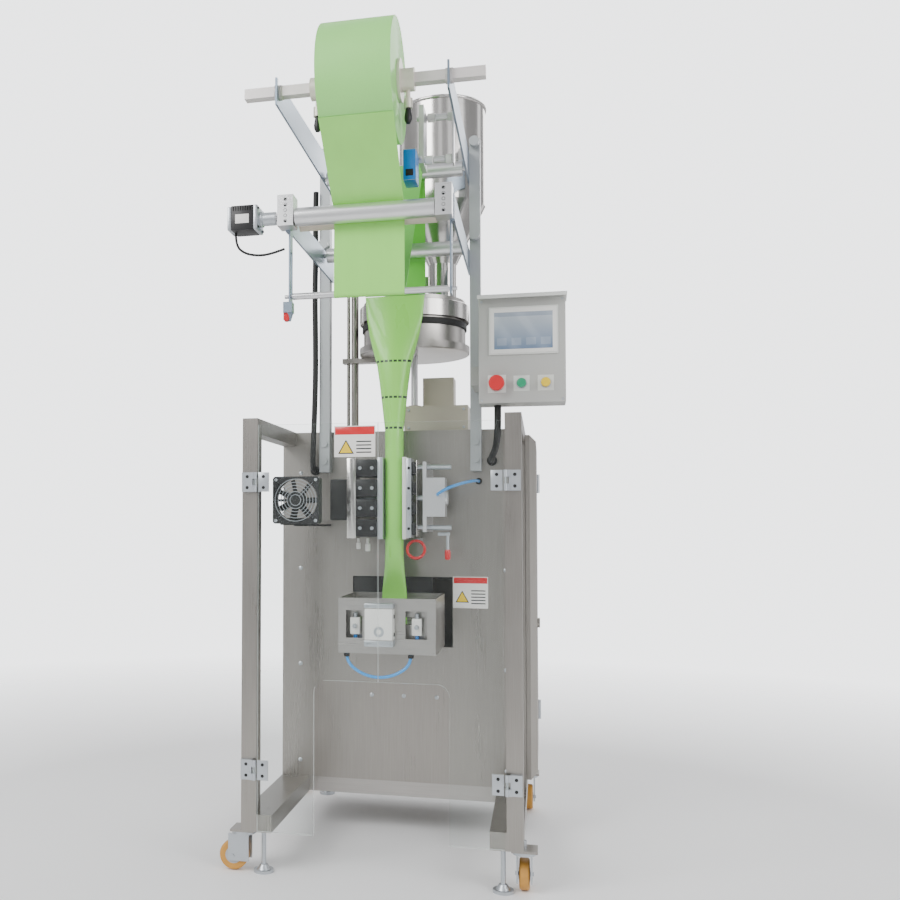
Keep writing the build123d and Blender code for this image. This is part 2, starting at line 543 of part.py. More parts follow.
def on_circle(y, z, r, degrees):
    """Point of a circle in the YZ plane."""
    return (y + r * math.cos(math.radians(degrees)), z + r * math.sin(math.radians(degrees)))


roll_reach = ROLL_R + FILM_T
drive_reach = DRIVE_R + PLAY + FILM_T / 2
between = math.hypot(DRIVE_Y - REEL_Y, DRIVE_Z - REEL_Z)
heading = math.degrees(math.atan2(DRIVE_Z - REEL_Z, DRIVE_Y - REEL_Y)
                       + math.asin((roll_reach + drive_reach) / between))
leave_point = on_circle(REEL_Y, REEL_Z, roll_reach, heading - 90)
wrap_step = 12
drive_wrap = [on_circle(DRIVE_Y, DRIVE_Z, drive_reach + 0.3, heading + 90 - turn)
              for turn in range(0, int(heading + 90), wrap_step)]
front_y = DANCER_Y - DANCER_R - PLAY - FILM_T / 2
rear_y = DANCER_Y + DANCER_R + PLAY + FILM_T / 2
bottom_z = DANCER_Z - DANCER_R - PLAY - FILM_T / 2
turn_reach = TURN_R + PLAY + FILM_T / 2 + 0.1
rear_start = (rear_y, bottom_z + 10)
to_turn = math.hypot(TURN_Y - rear_y, TURN_Z - rear_start[1])
touch = math.degrees(math.atan2(rear_start[1] - TURN_Z, rear_y - TURN_Y)
                     - math.acos(turn_reach / to_turn)) % 360
turn_wrap = [on_circle(TURN_Y, TURN_Z, turn_reach, touch - turn)
             for turn in range(0, int(touch), wrap_step)]
ribbon([leave_point] + drive_wrap + [(NIP_Y, DRIVE_Z - 8)], "film_unwind_run")
ribbon([(NIP_Y, DRIVE_Z - 9), (front_y, bottom_z), (rear_y, bottom_z), (rear_y, bottom_z + 9)],
       "film_dancer_loop")
ribbon([rear_start] + turn_wrap + [(TURN_Y + turn_reach, TURN_Z), (TURN_Y + turn_reach, TUBE_TOP + 1)],
       "film_rear_run")

# height, half width, half depth and middle of each section, from the flat film at the top to the cut edge
FUNNEL_STEPS = ((TUBE_TOP, 84.0, 6.0, TUBE_Y + 18), (1415.0, 70.0, 20.0, TUBE_Y + 4), (1330.0, 48.0, 26.0, TUBE_Y - 2),
                (1236.0, 36.0, 25.5, TUBE_Y - 1), (NECK_Z, TUBE_R + 1.4, TUBE_R + 1, TUBE_Y),
                (760.0, TUBE_R + 1.4, TUBE_R + 1, TUBE_Y), (FILM_END_Z + 68, 34.0, 1.0, TUBE_Y),
                (FILM_END_Z, 34.0, 1.0, TUBE_Y))
FUNNEL_WALL = 1.3
with BuildPart() as film_tube:
    for z, w, d, y in FUNNEL_STEPS:
        with BuildSketch(Plane((0, y, z))):
            Ellipse(w, d)
    loft(ruled=True)
    for z, w, d, y in ((TUBE_TOP + 0.01, 84.0, 6.0, TUBE_Y + 18), *FUNNEL_STEPS[1:5],
                       (800.0, TUBE_R + 1.4, TUBE_R + 1, TUBE_Y)):
        with BuildSketch(Plane((0, y, z))):
            Ellipse(w - FUNNEL_WALL, d - FUNNEL_WALL)
    loft(ruled=True, mode=Mode.SUBTRACT)
    block(-60, 60, TUBE_Y + 2, PAN_Y, CHUTE_Z0 - 10, TUBE_TOP - 30, mode=Mode.SUBTRACT)
keep(film_tube, "film_tube")

# ---- vertical sealer: horn side fixed, anvil side pushed by its cylinder ----------------------------
HORN_X = -(TUBE_R + 2.0)
SEAL_Y0, SEAL_Y1 = TUBE_Y - 50, TUBE_Y + 30
SCREW_PITCH = 53.0
with BuildPart() as horn_unit:
    block(HORN_X - 84, HORN_X, SEAL_Y0, SEAL_Y1, JAW_Z0, JAW_Z1)
    block(HORN_X - 140, HORN_X - 84, SEAL_Y0 + 8, SEAL_Y1, JAW_Z0 + 20, JAW_Z1 - 14)
    block(HORN_X - 148, HORN_X - 140, SEAL_Y0, SEAL_Y1, JAW_Z0 + 14, JAW_Z1 - 8)
    block(HORN_X - 130, HORN_X - 90, SEAL_Y1, PANEL_Y, JAW_Z0 + 60, JAW_Z1 - 60)
    for count in range(4):
        z = JAW_Z0 + 32 + count * SCREW_PITCH
        rod_y(HORN_X - 46, SEAL_Y0 - 7, SEAL_Y0, z, 6)
    rod_z(HORN_X - 74, SEAL_Y0 + 20, JAW_Z0 - 34, JAW_Z0, 9)
keep(horn_unit, "horn_unit")

ANVIL_X = TUBE_R + 2.0
with BuildPart() as anvil_jaw:
    block(ANVIL_X, ANVIL_X + 24, SEAL_Y0, SEAL_Y1, JAW_Z0, JAW_Z1)
    block(ANVIL_X + 24, ANVIL_X + 42, SEAL_Y0 + 14, SEAL_Y1 - 14, JAW_Z0 + 16, JAW_Z1 - 20)
    for z in (JAW_Z0 + 32, JAW_Z1 - 28):
        rod_x(ANVIL_X + 42, ANVIL_X + 132, TUBE_Y - 20, z, 7)
    rod_x(ANVIL_X + 42, ANVIL_X + 90, TUBE_Y - 20, (JAW_Z0 + JAW_Z1) / 2, 8)
keep(anvil_jaw, "anvil_jaw")

PLATE_X = ANVIL_X + 42 + JAW_OPEN + 3
with BuildPart() as anvil_cylinder:
    block(PLATE_X, PLATE_X + 10, SEAL_Y0 + 8, PANEL_Y, JAW_Z0 + 20, JAW_Z1 - 14)
    block(PLATE_X + 10, PLATE_X + 60, TUBE_Y - 46, TUBE_Y + 14, JAW_Z0 + 62, JAW_Z1 - 58)
    rod_x(PLATE_X + 60, PLATE_X + 66, TUBE_Y - 20, (JAW_Z0 + JAW_Z1) / 2, 20)
    for z in (JAW_Z0 + 32, JAW_Z1 - 28):
        rod_x(PLATE_X, PLATE_X + 12, TUBE_Y - 20, z, 7 + FIT, mode=Mode.SUBTRACT)
    rod_x(PLATE_X - 1, PLATE_X + 48, TUBE_Y - 20, (JAW_Z0 + JAW_Z1) / 2, 8 + FIT, mode=Mode.SUBTRACT)
keep(anvil_cylinder, "anvil_cylinder")

# ---- cooling fan -----------------------------------------------------------------------------------
FAN_A, FAN_T = 122.0, 38.0
FAN_X, FAN_Y, FAN_Z = -219.0, 40.0, 950.0
with BuildPart() as fan_housing:
    block(FAN_X - FAN_A / 2, FAN_X + FAN_A / 2, FAN_Y, FAN_Y + FAN_T, FAN_Z - FAN_A / 2, FAN_Z + FAN_A / 2)
    fillet(fan_housing.edges().filter_by(Axis.Y), 8)
    rod_y(FAN_X, FAN_Y - 1, FAN_Y + FAN_T + 1, FAN_Z, FAN_A / 2 - 4, mode=Mode.SUBTRACT)
    for y in (FAN_Y, FAN_Y + FAN_T - 3):
        block(FAN_X - FAN_A / 2 + 2, FAN_X + FAN_A / 2 - 2, y, y + 3, FAN_Z - 3, FAN_Z + 3)
    rod_y(FAN_X, FAN_Y, FAN_Y + 3, FAN_Z, 20)
    rod_y(FAN_X, FAN_Y + FAN_T - 3, FAN_Y + FAN_T, FAN_Z, 20)
    rod_y(FAN_X, FAN_Y, FAN_Y + FAN_T, FAN_Z, 3 + FIT, mode=Mode.SUBTRACT)
    block(FAN_X - 50, FAN_X + 50, FAN_Y + FAN_T, FAN_Y + FAN_T + 3, FAN_Z - FAN_A / 2 - 3, FAN_Z - 46)
    block(FAN_X - 14, FAN_X + 14, FAN_Y + FAN_T, PANEL_Y, FAN_Z - FAN_A / 2 - 6, FAN_Z - FAN_A / 2)
    block(FAN_X - 14, FAN_X + 14, FAN_Y + FAN_T, FAN_Y + FAN_T + 3, FAN_Z - FAN_A / 2 - 6, FAN_Z - 50)
keep(fan_housing, "fan_housing")

BLADES = 7
with BuildPart() as fan_rotor:
    rod_y(FAN_X, FAN_Y + 5, FAN_Y + FAN_T - 5, FAN_Z, 22)
    rod_y(FAN_X, FAN_Y + 0.5, FAN_Y + FAN_T - 0.5, FAN_Z, 3)
    with Locations(Location((FAN_X, FAN_Y + FAN_T / 2, FAN_Z), (90, 0, 0))):
        with PolarLocations(37, BLADES):
            Box(32, 3, 20, rotation=(38, 0, 0))
keep(fan_rotor, "fan_rotor")

# ---- cutter carriage with its front jaw and knife ---------------------------------------------------
JAW_Z = 612.0
REAR_JAW_Y0 = TUBE_Y + 1.5
FRONT_STROKE = 14.0
BLADE_TRAVEL = 12.0
with BuildPart() as cutter_carriage:
    block(BOX_X0, BOX_X1, BOX_Y0, BOX_Y0 + SHEET, BOX_Z0, BOX_Z1)
    for x0, x1 in ((BOX_X0, BOX_X0 + SHEET), (BOX_X1 - SHEET, BOX_X1)):
        block(x0, x1, BOX_Y0, BOX_Y1, BOX_Z0, BOX_Z1)
    for x0, x1 in ((BOX_X0 + 20, BOX_X0 + 64), (BOX_X1 - 78, BOX_X1 - 22)):
        block(x0, x1, BOX_Y0 - 1, BOX_Y0 + SHEET + 1, BOX_Z0 + 40, BOX_Z0 + 112, mode=Mode.SUBTRACT)
        rod_y((x0 + x1) / 2, BOX_Y0 + 40, REAR_JAW_Y0 + 20, BOX_Z0 + 84, 8)
    block(BOX_X0 + SHEET, BOX_X1 - SHEET, REAR_JAW_Y0, REAR_JAW_Y0 + 26, JAW_Z - 18, JAW_Z + 18)
    block(BOX_X0 + 14, BOX_X1 - 14, BOX_Y0 + 40, BOX_Y0 + 48, BOX_Z0 + 20, BOX_Z1 - 20)
    block(BOX_X0 + SHEET, BOX_X1 - SHEET, BOX_Y0 + 48, BOX_Y0 + 54, BOX_Z0 + 14, BOX_Z0 + 26)
    block(BOX_X0 + 40, BOX_X1 - 40, BOX_Y1 - 4, PANEL_Y + 40, BOX_Z1 - 60, BOX_Z1 - 4)
    block(BOX_X0, BOX_X1, BOX_Y1 - 8, BOX_Y1, BOX_Z1 - 66, BOX_Z1)
    block(-50, 24, BOX_Y0 - 34, BOX_Y0, JAW_Z - 38, JAW_Z + 72)
    rod_y(-12, BOX_Y0 - 35, BOX_Y0 + 60, JAW_Z, 5 + FIT, mode=Mode.SUBTRACT)
    block(-70, 66, REAR_JAW_Y0, REAR_JAW_Y0 + BLADE_TRAVEL, JAW_Z + 6, JAW_Z + 15, mode=Mode.SUBTRACT)
    block(-74, 70, BOX_Y0 + 39, BOX_Y0 + 49, JAW_Z + 13, JAW_Z + 33, mode=Mode.SUBTRACT)
keep(cutter_carriage, "cutter_carriage")

with BuildPart() as front_jaw:
    block(-70, 66, TUBE_Y - 28, TUBE_Y - 1.5, JAW_Z - 18, JAW_Z + 6)
    rod_y(-12, BOX_Y0 - 20, TUBE_Y - 27, JAW_Z, 5)
keep(front_jaw, "front_jaw")

with BuildPart() as cutter_blade:
    block(-66, 62, BOX_Y0 + 70, TUBE_Y - 3, JAW_Z + 10, JAW_Z + 13)
    block(-30, 26, BOX_Y0 + 58, BOX_Y0 + 76, JAW_Z + 13, JAW_Z + 30)
keep(cutter_blade, "cutter_blade")

# ---- cables and hoses ------------------------------------------------------------------------------
def cord(name, points, diameter):
    """Plain tube along straight runs joined by tangent arcs, each as large as its runs allow."""
    radii = []
    for a, b, c in zip(points, points[1:], points[2:]):
        run_in, run_out = Vector(*b) - Vector(*a), Vector(*c) - Vector(*b)
        turn = math.radians(run_in.get_angle(run_out))
        radii.append(0.45 * min(run_in.length, run_out.length) / math.tan(turn / 2))
    with BuildPart() as tube:
        with BuildLine():
            route = FilletPolyline(*points, radius=radii)
        with BuildSketch(Plane(origin=route @ 0, z_dir=route % 0)):
            Circle(diameter / 2)
        sweep(path=route)
    cords[name] = points
    keep(tube, name)
    print(name, "length", round(route.length), "radii", [round(r) for r in radii],
          "volume ratio", round(tube.part.volume / (math.pi * diameter ** 2 / 4 * route.length), 3))


cord("hmi_conduit", [(HMI_X0 + 46, 196, HMI_Z0), (HMI_X0 + 46, 196, HMI_Z0 - 44),
                     (HMI_X0 + 43, 232, HMI_Z0 - 84), (HMI_X0 + 34, 290, HMI_Z0 - 112),
                     (HMI_X0 + 20, 352, HMI_Z0 - 130), (HMI_X0 + 20, PANEL_Y, HMI_Z0 - 130)], 18.0)
cord("mast_conduit", [(-252, PANEL_Y, 1046), (-252, 402, 1046), (-250, 382, 1066), (-247, 376, 1120),
                      (-244, 378, 1210), (-241, 378, 1320), (-242, 380, 1440), (-244, 380, 1560),
                      (-242, 382, 1680), (-243, 380, 1780), (-241, 380, 1862)], 16.0)
cord("motor_cable", [(MOTOR_X0 + 14, DRIVE_Y, DRIVE_Z - MOTOR_A / 2), (MOTOR_X0 + 14, DRIVE_Y, 1568),
                     (MOTOR_X0 + 34, DRIVE_Y + 4, 1548), (MOTOR_X0 + 68, DRIVE_Y + 8, 1541),
                     (MOTOR_X0 + 100, DRIVE_Y + 16, 1546), (-ARM_X - 8, DRIVE_Y + 30, 1560)], 6.0)
cord("jaw_air_hose", [(PLATE_X + 40, TUBE_Y - 46, 968), (PLATE_X + 40, TUBE_Y - 72, 968),
                      (PLATE_X + 62, TUBE_Y - 80, 982), (PLATE_X + 92, TUBE_Y - 44, 996),
                      (PLATE_X + 118, TUBE_Y + 8, 1006), (PLATE_X + 140, TUBE_Y + 70, 1012),
                      (PLATE_X + 140, PANEL_Y, 1012)], 8.0)
cord("carriage_air_loop", [(BOX_X0 + 22, BOX_Y0 + 1.5, BOX_Z0), (BOX_X0 + 22, BOX_Y0 + 1.5, BOX_Z0 - 24),
                           (BOX_X0 + 60, BOX_Y0 - 3, BOX_Z0 - 52), (BOX_X0 + 104, BOX_Y0 - 6, BOX_Z0 - 62),
                           (BOX_X0 + 150, BOX_Y0 - 5, BOX_Z0 - 54), (BOX_X0 + 190, BOX_Y0 + 1.5, BOX_Z0 - 26),
                           (BOX_X0 + 190, BOX_Y0 + 1.5, BOX_Z0)], 8.0)

# ---- origin at the bottom centre, then write -------------------------------------------------------
boxes = [solid.bounding_box() for solid in pieces.values()]
MID_X = (min(b.min.X for b in boxes) + max(b.max.X for b in boxes)) / 2
MID_Y = (min(b.min.Y for b in boxes) + max(b.max.Y for b in boxes)) / 2
print("origin at", round(MID_X, 3), round(MID_Y, 3), "height", round(max(b.max.Z for b in boxes), 1),
      "floor", round(min(b.min.Z for b in boxes), 4), "pieces", len(pieces))
os.makedirs("parts", exist_ok=True)
for name, solid in pieces.items():
    placed = solid.moved(Location((-MID_X, -MID_Y, 0)))
    placed.label = name
    export_step(placed, f"parts/{name}.step")
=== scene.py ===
"""Vertical form fill sealer: finishes, fine pieces, cords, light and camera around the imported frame."""

import logging
import math
from dataclasses import dataclass, field
from enum import Enum
from typing import Any, Iterable, Sequence

import bmesh
import bpy
from mathutils import Matrix, Vector


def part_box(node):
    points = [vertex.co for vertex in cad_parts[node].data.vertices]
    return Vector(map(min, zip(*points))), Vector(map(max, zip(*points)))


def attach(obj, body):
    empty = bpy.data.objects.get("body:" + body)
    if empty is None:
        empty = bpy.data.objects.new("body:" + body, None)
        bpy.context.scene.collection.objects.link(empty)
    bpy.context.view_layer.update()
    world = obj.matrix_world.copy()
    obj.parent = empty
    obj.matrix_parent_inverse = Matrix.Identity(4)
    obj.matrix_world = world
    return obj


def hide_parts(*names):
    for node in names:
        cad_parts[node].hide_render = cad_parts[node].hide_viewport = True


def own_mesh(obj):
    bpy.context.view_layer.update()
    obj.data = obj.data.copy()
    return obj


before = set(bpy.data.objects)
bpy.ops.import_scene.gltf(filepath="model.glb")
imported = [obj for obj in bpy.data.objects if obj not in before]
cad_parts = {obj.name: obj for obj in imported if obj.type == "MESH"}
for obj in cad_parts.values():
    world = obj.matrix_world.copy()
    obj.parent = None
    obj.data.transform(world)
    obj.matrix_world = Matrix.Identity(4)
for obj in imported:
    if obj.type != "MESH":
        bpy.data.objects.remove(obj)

log = logging.getLogger("sealer")
Point = Sequence[float]
Colour = tuple[float, float, float]

MID_X, MID_Y = 23.25, 264.0     # local middle of the machine, in millimetres
PANEL_Y = 430.0                 # front face of the front panel
REEL = (0.0, -220.0, 1905.0)    # middle of the film reel
HINGE_HEIGHTS = (268.0, 995.0)  # middles of the guard doors' hinges
HINGE_SCREWS = (-14.0, 14.0)    # screws of a hinge leaf, from its middle
SHARP_ANGLE = math.radians(32)  # edges above this angle stay sharp

# (radius, distance) profiles of small turned parts that point towards -Y
FLAT_SCREW = ((0, -1.2), (3.4, -1.2), (4.2, -0.4), (4.2, 0.4), (0, 0.4))
DOME_BOLT = ((0, -3.2), (3.0, -3.0), (5.4, -1.6), (6.2, 0.1), (0, 0.1))


def at(x: float, y: float, z: float) -> Vector:
    """Turn a local point in millimetres into a point of the row frame in metres."""
    return Vector(((x - MID_X) / 1000, (y - MID_Y) / 1000, z / 1000))


class Grain(Enum):
    """Direction in which a metal surface is brushed."""

    UPRIGHT = (90.0, 90.0, 1.2)
    ACROSS_X = (1.2, 90.0, 90.0)
    ACROSS_Y = (90.0, 1.2, 90.0)
    NONE = (20.0, 20.0, 20.0)


class Turn(Enum):
    """Axis of a turned shape."""

    X = 0
    Y = 1
    Z = 2


@dataclass(frozen=True)
class Shade:
    """A number that comes out of a material's node, with arithmetic that adds Math nodes."""

    tree: Any
    socket: Any

    def _maths(self, operation: str, left: Any, right: Any) -> "Shade":
        """Add one Math node.

        Args:
            operation: Name of the Math node's operation.
            left: First value, a Shade or a number.
            right: Second value, a Shade or a number.

        Returns:
            The node's result.
        """
        node = self.tree.nodes.new("ShaderNodeMath")
        node.operation = operation
        for index, value in enumerate((left, right)):
            if isinstance(value, Shade):
                self.tree.links.new(value.socket, node.inputs[index])
            else:
                node.inputs[index].default_value = value
        return Shade(self.tree, node.outputs[0])

    def __add__(self, other: Any) -> "Shade":
        """Return self + other."""
        return self._maths("ADD", self, other)

    __radd__ = __add__

    def __sub__(self, other: Any) -> "Shade":
        """Return self - other."""
        return self._maths("SUBTRACT", self, other)

    def __rsub__(self, other: Any) -> "Shade":
        """Return other - self."""
        return self._maths("SUBTRACT", other, self)

    def __mul__(self, other: Any) -> "Shade":
        """Return self * other."""
        return self._maths("MULTIPLY", self, other)

    __rmul__ = __mul__

    def __gt__(self, other: Any) -> "Shade":
        """Return 1 where self is above other."""
        return self._maths("GREATER_THAN", self, other)

    def __lt__(self, other: Any) -> "Shade":
        """Return 1 where self is below other."""
        return self._maths("LESS_THAN", self, other)

    def __mod__(self, other: Any) -> "Shade":
        """Return self wrapped at other."""
        return self._maths("FLOORED_MODULO", self, other)


class Nodes:
    """A node tree while its nodes are being laid out."""

    def __init__(self, tree: Any) -> None:
        """Take a material's or the world's tree."""
        self.tree = tree

    def node(self, kind: str, settings: dict[str, Any], sockets: dict[Any, Any]) -> Any:
        """Add a node of any kind.

        Args:
            kind: Node type without the ShaderNode prefix.
            settings: Attributes that are set first.
            sockets: Values or links of the inputs, by name or index.

        Returns:
            The new node.
        """
        made = self.tree.nodes.new("ShaderNode" + kind)
        for key, value in settings.items():
            setattr(made, key, value)
        for key, value in sockets.items():
            self.join(value, made.inputs[key])
        return made

    def join(self, value: Any, socket: Any) -> None:
        """Link a Shade or a raw output to a socket, or set the socket's own value."""
        if isinstance(value, Shade):
            self.tree.links.new(value.socket, socket)
        elif isinstance(value, bpy.types.NodeSocket):
            self.tree.links.new(value, socket)
        else:
            socket.default_value = value


class Dye(Nodes):
    """One material while its nodes are being laid out."""

    def __init__(self, name: str) -> None:
        """Start a material with a Principled shader.

        Args:
            name: Name of the material.
        """
        self.material = bpy.data.materials.new(name)
        self.material.use_nodes = True
        super().__init__(self.material.node_tree)
        self.shader = next(n for n in self.tree.nodes if n.type == "BSDF_PRINCIPLED")

    def place(self) -> Any:
        """Return the Object coordinates of the surface."""
        return self.node("TexCoord", {}, {}).outputs["Object"]

    def axes(self) -> tuple[Shade, Shade, Shade]:
        """Return the surface's x, y and z in metres."""
        parts = self.node("SeparateXYZ", {}, {0: self.place()}).outputs
        return tuple(Shade(self.tree, parts[i]) for i in range(3))

    def noise(self, scale: float, stretch: Point = (1, 1, 1), detail: float = 4.0) -> Shade:
        """Return a noise value around 0.5.

        Args:
            scale: Scale of the noise.
            stretch: Factors on the three coordinates.
            detail: Number of octaves.

        Returns:
            The noise factor.
        """
        where = self.node("Mapping", {}, {"Vector": self.place(), "Scale": tuple(stretch)})
        made = self.node("TexNoise", {}, {"Vector": where.outputs[0], "Scale": scale, "Detail": detail})
        return Shade(self.tree, made.outputs[0])

    def blend(self, factor: Shade, low: Colour, high: Any) -> Any:
        """Mix two colours by a factor.

        Args:
            factor: 0 gives the first colour and 1 the second.
            low: First colour, or a colour output.
            high: Second colour, or a colour output.

        Returns:
            The mixed colour output.
        """
        colours = [(*c, 1.0) if isinstance(c, tuple) else c for c in (low, high)]
        made = self.node("Mix", {"data_type": "RGBA"}, {0: factor, 6: colours[0], 7: colours[1]})
        return made.outputs[2]

    def bump(self, height: Shade, strength: float, depth: float) -> None:
        """Drive the shader's normal by a height.

        Args:
            height: Height value.
            strength: Strength of the bump.
            depth: Distance of the bump in metres.
        """
        made = self.node("Bump", {}, {"Height": height, "Strength": strength, "Distance": depth})
        self.join(made.outputs[0], self.shader.inputs["Normal"])

    def wear(self, **sockets: Any) -> bpy.types.Material:
        """Set the shader's sockets by name, with underscores for spaces.

        Args:
            sockets: Values, colours or links.

        Returns:
            The finished material.
        """
        for key, value in sockets.items():
            socket = self.shader.inputs[key.replace("_", " ")]
            if isinstance(value, tuple) and len(value) == 3:
                value = (*value, 1.0)
            self.join(value, socket)
        return self.material


@dataclass(frozen=True)
class Finish:
    """A plain moulded or painted surface with a fine texture and slight colour variation."""

    name: str
    colour: Colour
    rough: float = 0.45
    metallic: float = 0.0
    coat: float = 0.0
    speckle: float = 0.06
    grain: Grain = Grain.NONE
    pit: float = 0.0001

    def make(self) -> bpy.types.Material:
        """Return the material."""
        dye = Dye(self.name)
        fine = dye.noise(40.0, self.grain.value)
        cloud = dye.noise(6.0, detail=2.0)
        dark = tuple(c * (1 - 2.2 * self.speckle) for c in self.colour)
        light = tuple(min(1.0, c * (1 + 1.6 * self.speckle)) for c in self.colour)
        mixed = dye.blend(fine * 0.55 + cloud * 0.45, dark, light)
        dye.bump(fine, 0.35, self.pit)
        return dye.wear(Base_Color=mixed, Metallic=self.metallic, Coat_Weight=self.coat,
                        Roughness=self.rough - 0.09 + fine * 0.1 + cloud * 0.08)


@dataclass(frozen=True)
class BrushedSheet(Finish):
    """Brushed stainless steel, with long fine lines, a mottled sheen and a few faint smears."""

    metallic: float = 0.96
    rough: float = 0.30

    def make(self) -> bpy.types.Material:
        """Return the material."""
        dye = Dye(self.name)
        lines = dye.noise(9.0, self.grain.value, 5.0)
        broad = dye.noise(3.2, tuple(max(1.0, v / 20) for v in self.grain.value), 3.0)
        dark = tuple(c * 0.72 for c in self.colour)
        light = tuple(min(1.0, c * 1.22) for c in self.colour)
        mixed = dye.blend(lines * 0.6 + broad * 0.4, dark, light)
        dye.bump(lines, 0.25, 0.00012)
        return dye.wear(Base_Color=mixed, Metallic=self.metallic,
                        Roughness=self.rough - 0.14 + lines * 0.12 + broad * 0.18)


@dataclass(frozen=True)
class FilmDye(Finish):
    """Printed packaging film: glossy green with dark registration dashes at set heights."""

    bands: tuple[float, ...] = ()
    # back: darker green for the film's back faces, painted shade on its inner side
    back: Colour = (0.03, 0.28, 0.02)
    ink: Colour = (0.02, 0.04, 0.02)
    half_dash: float = 0.0030       # half the height of a dash, in metres
    pitch: float = 0.0125
    gap: float = 0.0035

    def make(self) -> bpy.types.Material:
        """Return the material."""
        dye = Dye(self.name)
        x, _, z = dye.axes()
        creases_and_painted_shade = dye.noise(14.0, (1.0, 1.0, 0.25), 3.0)
        # The colour is darker where the crease noise is low: painted shade in the film's creases; the same
        # noise also gives the real bump and roughness.
        dark = tuple(c * 0.80 for c in self.colour)
        mixed = dye.blend(creases_and_painted_shade, dark, self.colour)
        for height in self.bands:
            near = ((z - height) > -self.half_dash) * ((z - height) < self.half_dash)
            dashes = ((x + 1.0) % self.pitch) > self.gap
            mixed = dye.blend(near * dashes, mixed, self.ink)
        # The back faces are blended towards the darker green: painted shade on the inside of the film.
        back_face_painted_shade = Shade(dye.tree, dye.node("NewGeometry", {}, {}).outputs["Backfacing"])
        mixed = dye.blend(back_face_painted_shade * 0.6, mixed, self.back)
        dye.bump(creases_and_painted_shade, 0.3, 0.0015)
        return dye.wear(Base_Color=mixed, Roughness=0.22 + creases_and_painted_shade * 0.16, Coat_Weight=0.25)


@dataclass(frozen=True)
class ClearSheet(Finish):
    """Clear acrylic with bright sawn edges."""

    def make(self) -> bpy.types.Material:
        """Return the material."""
        dye = Dye(self.name)
        dust = dye.noise(30.0, detail=5.0)
        out = next(n for n in dye.tree.nodes if n.type == "OUTPUT_MATERIAL")
        clear = dye.node("BsdfTransparent", {}, {"Color": (0.975, 0.985, 0.982, 1.0)})
        normal = dye.node("TexCoord", {}, {}).outputs["Normal"]
        parts = dye.node("SeparateXYZ", {}, {0: normal}).outputs
        flat = Shade(dye.tree, dye.node("Math", {"operation": "ABSOLUTE"}, {0: parts[1]}).outputs[0])
        dye.wear(Base_Color=self.colour, Roughness=0.06 + dust * 0.06)
        share = (flat < 0.6) * 0.60 + 0.004 + dust * 0.012
        mixed = dye.node("MixShader", {}, {0: share, 1: clear.outputs[0], 2: dye.shader.outputs[0]})
        dye.join(mixed.outputs[0], out.inputs["Surface"])
        return dye.material


@dataclass(frozen=True)
class ScreenGlow(Finish):
    """Touch screen that shows a plain pale gradient with a few blank tiles."""

    low: Point = (0, 0, 0)
    high: Point = (1, 1, 1)

    def make(self) -> bpy.types.Material:
        """Return the material."""
        dye = Dye(self.name)
        x, _, z = dye.axes()
        across = (x - self.low[0]) * (1 / (self.high[0] - self.low[0]))
        up = (z - self.low[2]) * (1 / (self.high[2] - self.low[2]))
        mixed = dye.blend(up, self.colour, (0.42, 0.46, 0.50))
        tile = ((across * 4.0 % 1.0) > 0.2) * ((across * 4.0 % 1.0) < 0.86)
        row = (up > 0.10) * (up < 0.30)
        mixed = dye.blend(tile * row * 0.35, mixed, (0.40, 0.45, 0.52))
        mixed = dye.blend((up > 0.88) * 0.5, mixed, (0.16, 0.20, 0.28))
        return dye.wear(Base_Color=mixed, Roughness=0.12 + dye.noise(60.0) * 0.05, Coat_Weight=0.6,
                        Emission_Color=mixed, Emission_Strength=0.12)


@dataclass(frozen=True)
class TyreAndHub(Finish):
    """Amber tyre around a paler hub, told apart by the distance from the axle."""

    hub: Point = (0, 0, 0)
    radius: float = 0.022

    def make(self) -> bpy.types.Material:
        """Return the material."""
        dye = Dye(self.name)
        where = dye.node("VectorMath", {"operation": "DISTANCE"}, {0: dye.place(), 1: tuple(self.hub)})
        away = Shade(dye.tree, where.outputs["Value"])
        scuff = dye.noise(50.0)
        tyre = dye.blend(scuff, tuple(c * 0.7 for c in self.colour), self.colour)
        mixed = dye.blend(away < self.radius, tyre, (0.42, 0.44, 0.46))
        dye.bump(scuff, 0.3, 0.0003)
        return dye.wear(Base_Color=mixed, Roughness=0.34 + scuff * 0.2)


STEEL = BrushedSheet("stainless_upright", (0.345, 0.325, 0.30), grain=Grain.UPRIGHT)
STEEL_X = BrushedSheet("stainless_across", (0.46, 0.44, 0.42), grain=Grain.ACROSS_X)
POLISHED = BrushedSheet("polished_stainless", (0.60, 0.58, 0.56), rough=0.16, grain=Grain.UPRIGHT)
ZINC = BrushedSheet("zinc_arm", (0.27, 0.33, 0.40), rough=0.36, grain=Grain.ACROSS_Y)
ZINC_CAST = Finish("zinc_fitting", (0.50, 0.53, 0.56), rough=0.36, metallic=0.85)
MAST_GREY = Finish("mast_grey", (0.42, 0.44, 0.45), rough=0.42, metallic=0.55, grain=Grain.UPRIGHT)
ALUMINIUM = Finish("turned_aluminium", (0.74, 0.74, 0.75), rough=0.30, metallic=0.9, grain=Grain.ACROSS_X)
CREAM = Finish("cream_collar", (0.72, 0.68, 0.60), rough=0.4, metallic=0.35)
PALE = Finish("pale_shaft", (0.70, 0.66, 0.64), rough=0.4, metallic=0.45, grain=Grain.ACROSS_X)
BEIGE = Finish("beige_rubber", (0.64, 0.56, 0.46), rough=0.66)
KHAKI = Finish("khaki_paint", (0.52, 0.48, 0.39), rough=0.36, metallic=0.35, coat=0.15)
HMI_GREY = Finish("operator_grey", (0.44, 0.44, 0.42), rough=0.45)
BEZEL = Finish("pale_bezel", (0.66, 0.67, 0.64), rough=0.38)
BLACK = Finish("black_housing", (0.008, 0.008, 0.009), rough=0.46, coat=0.05)
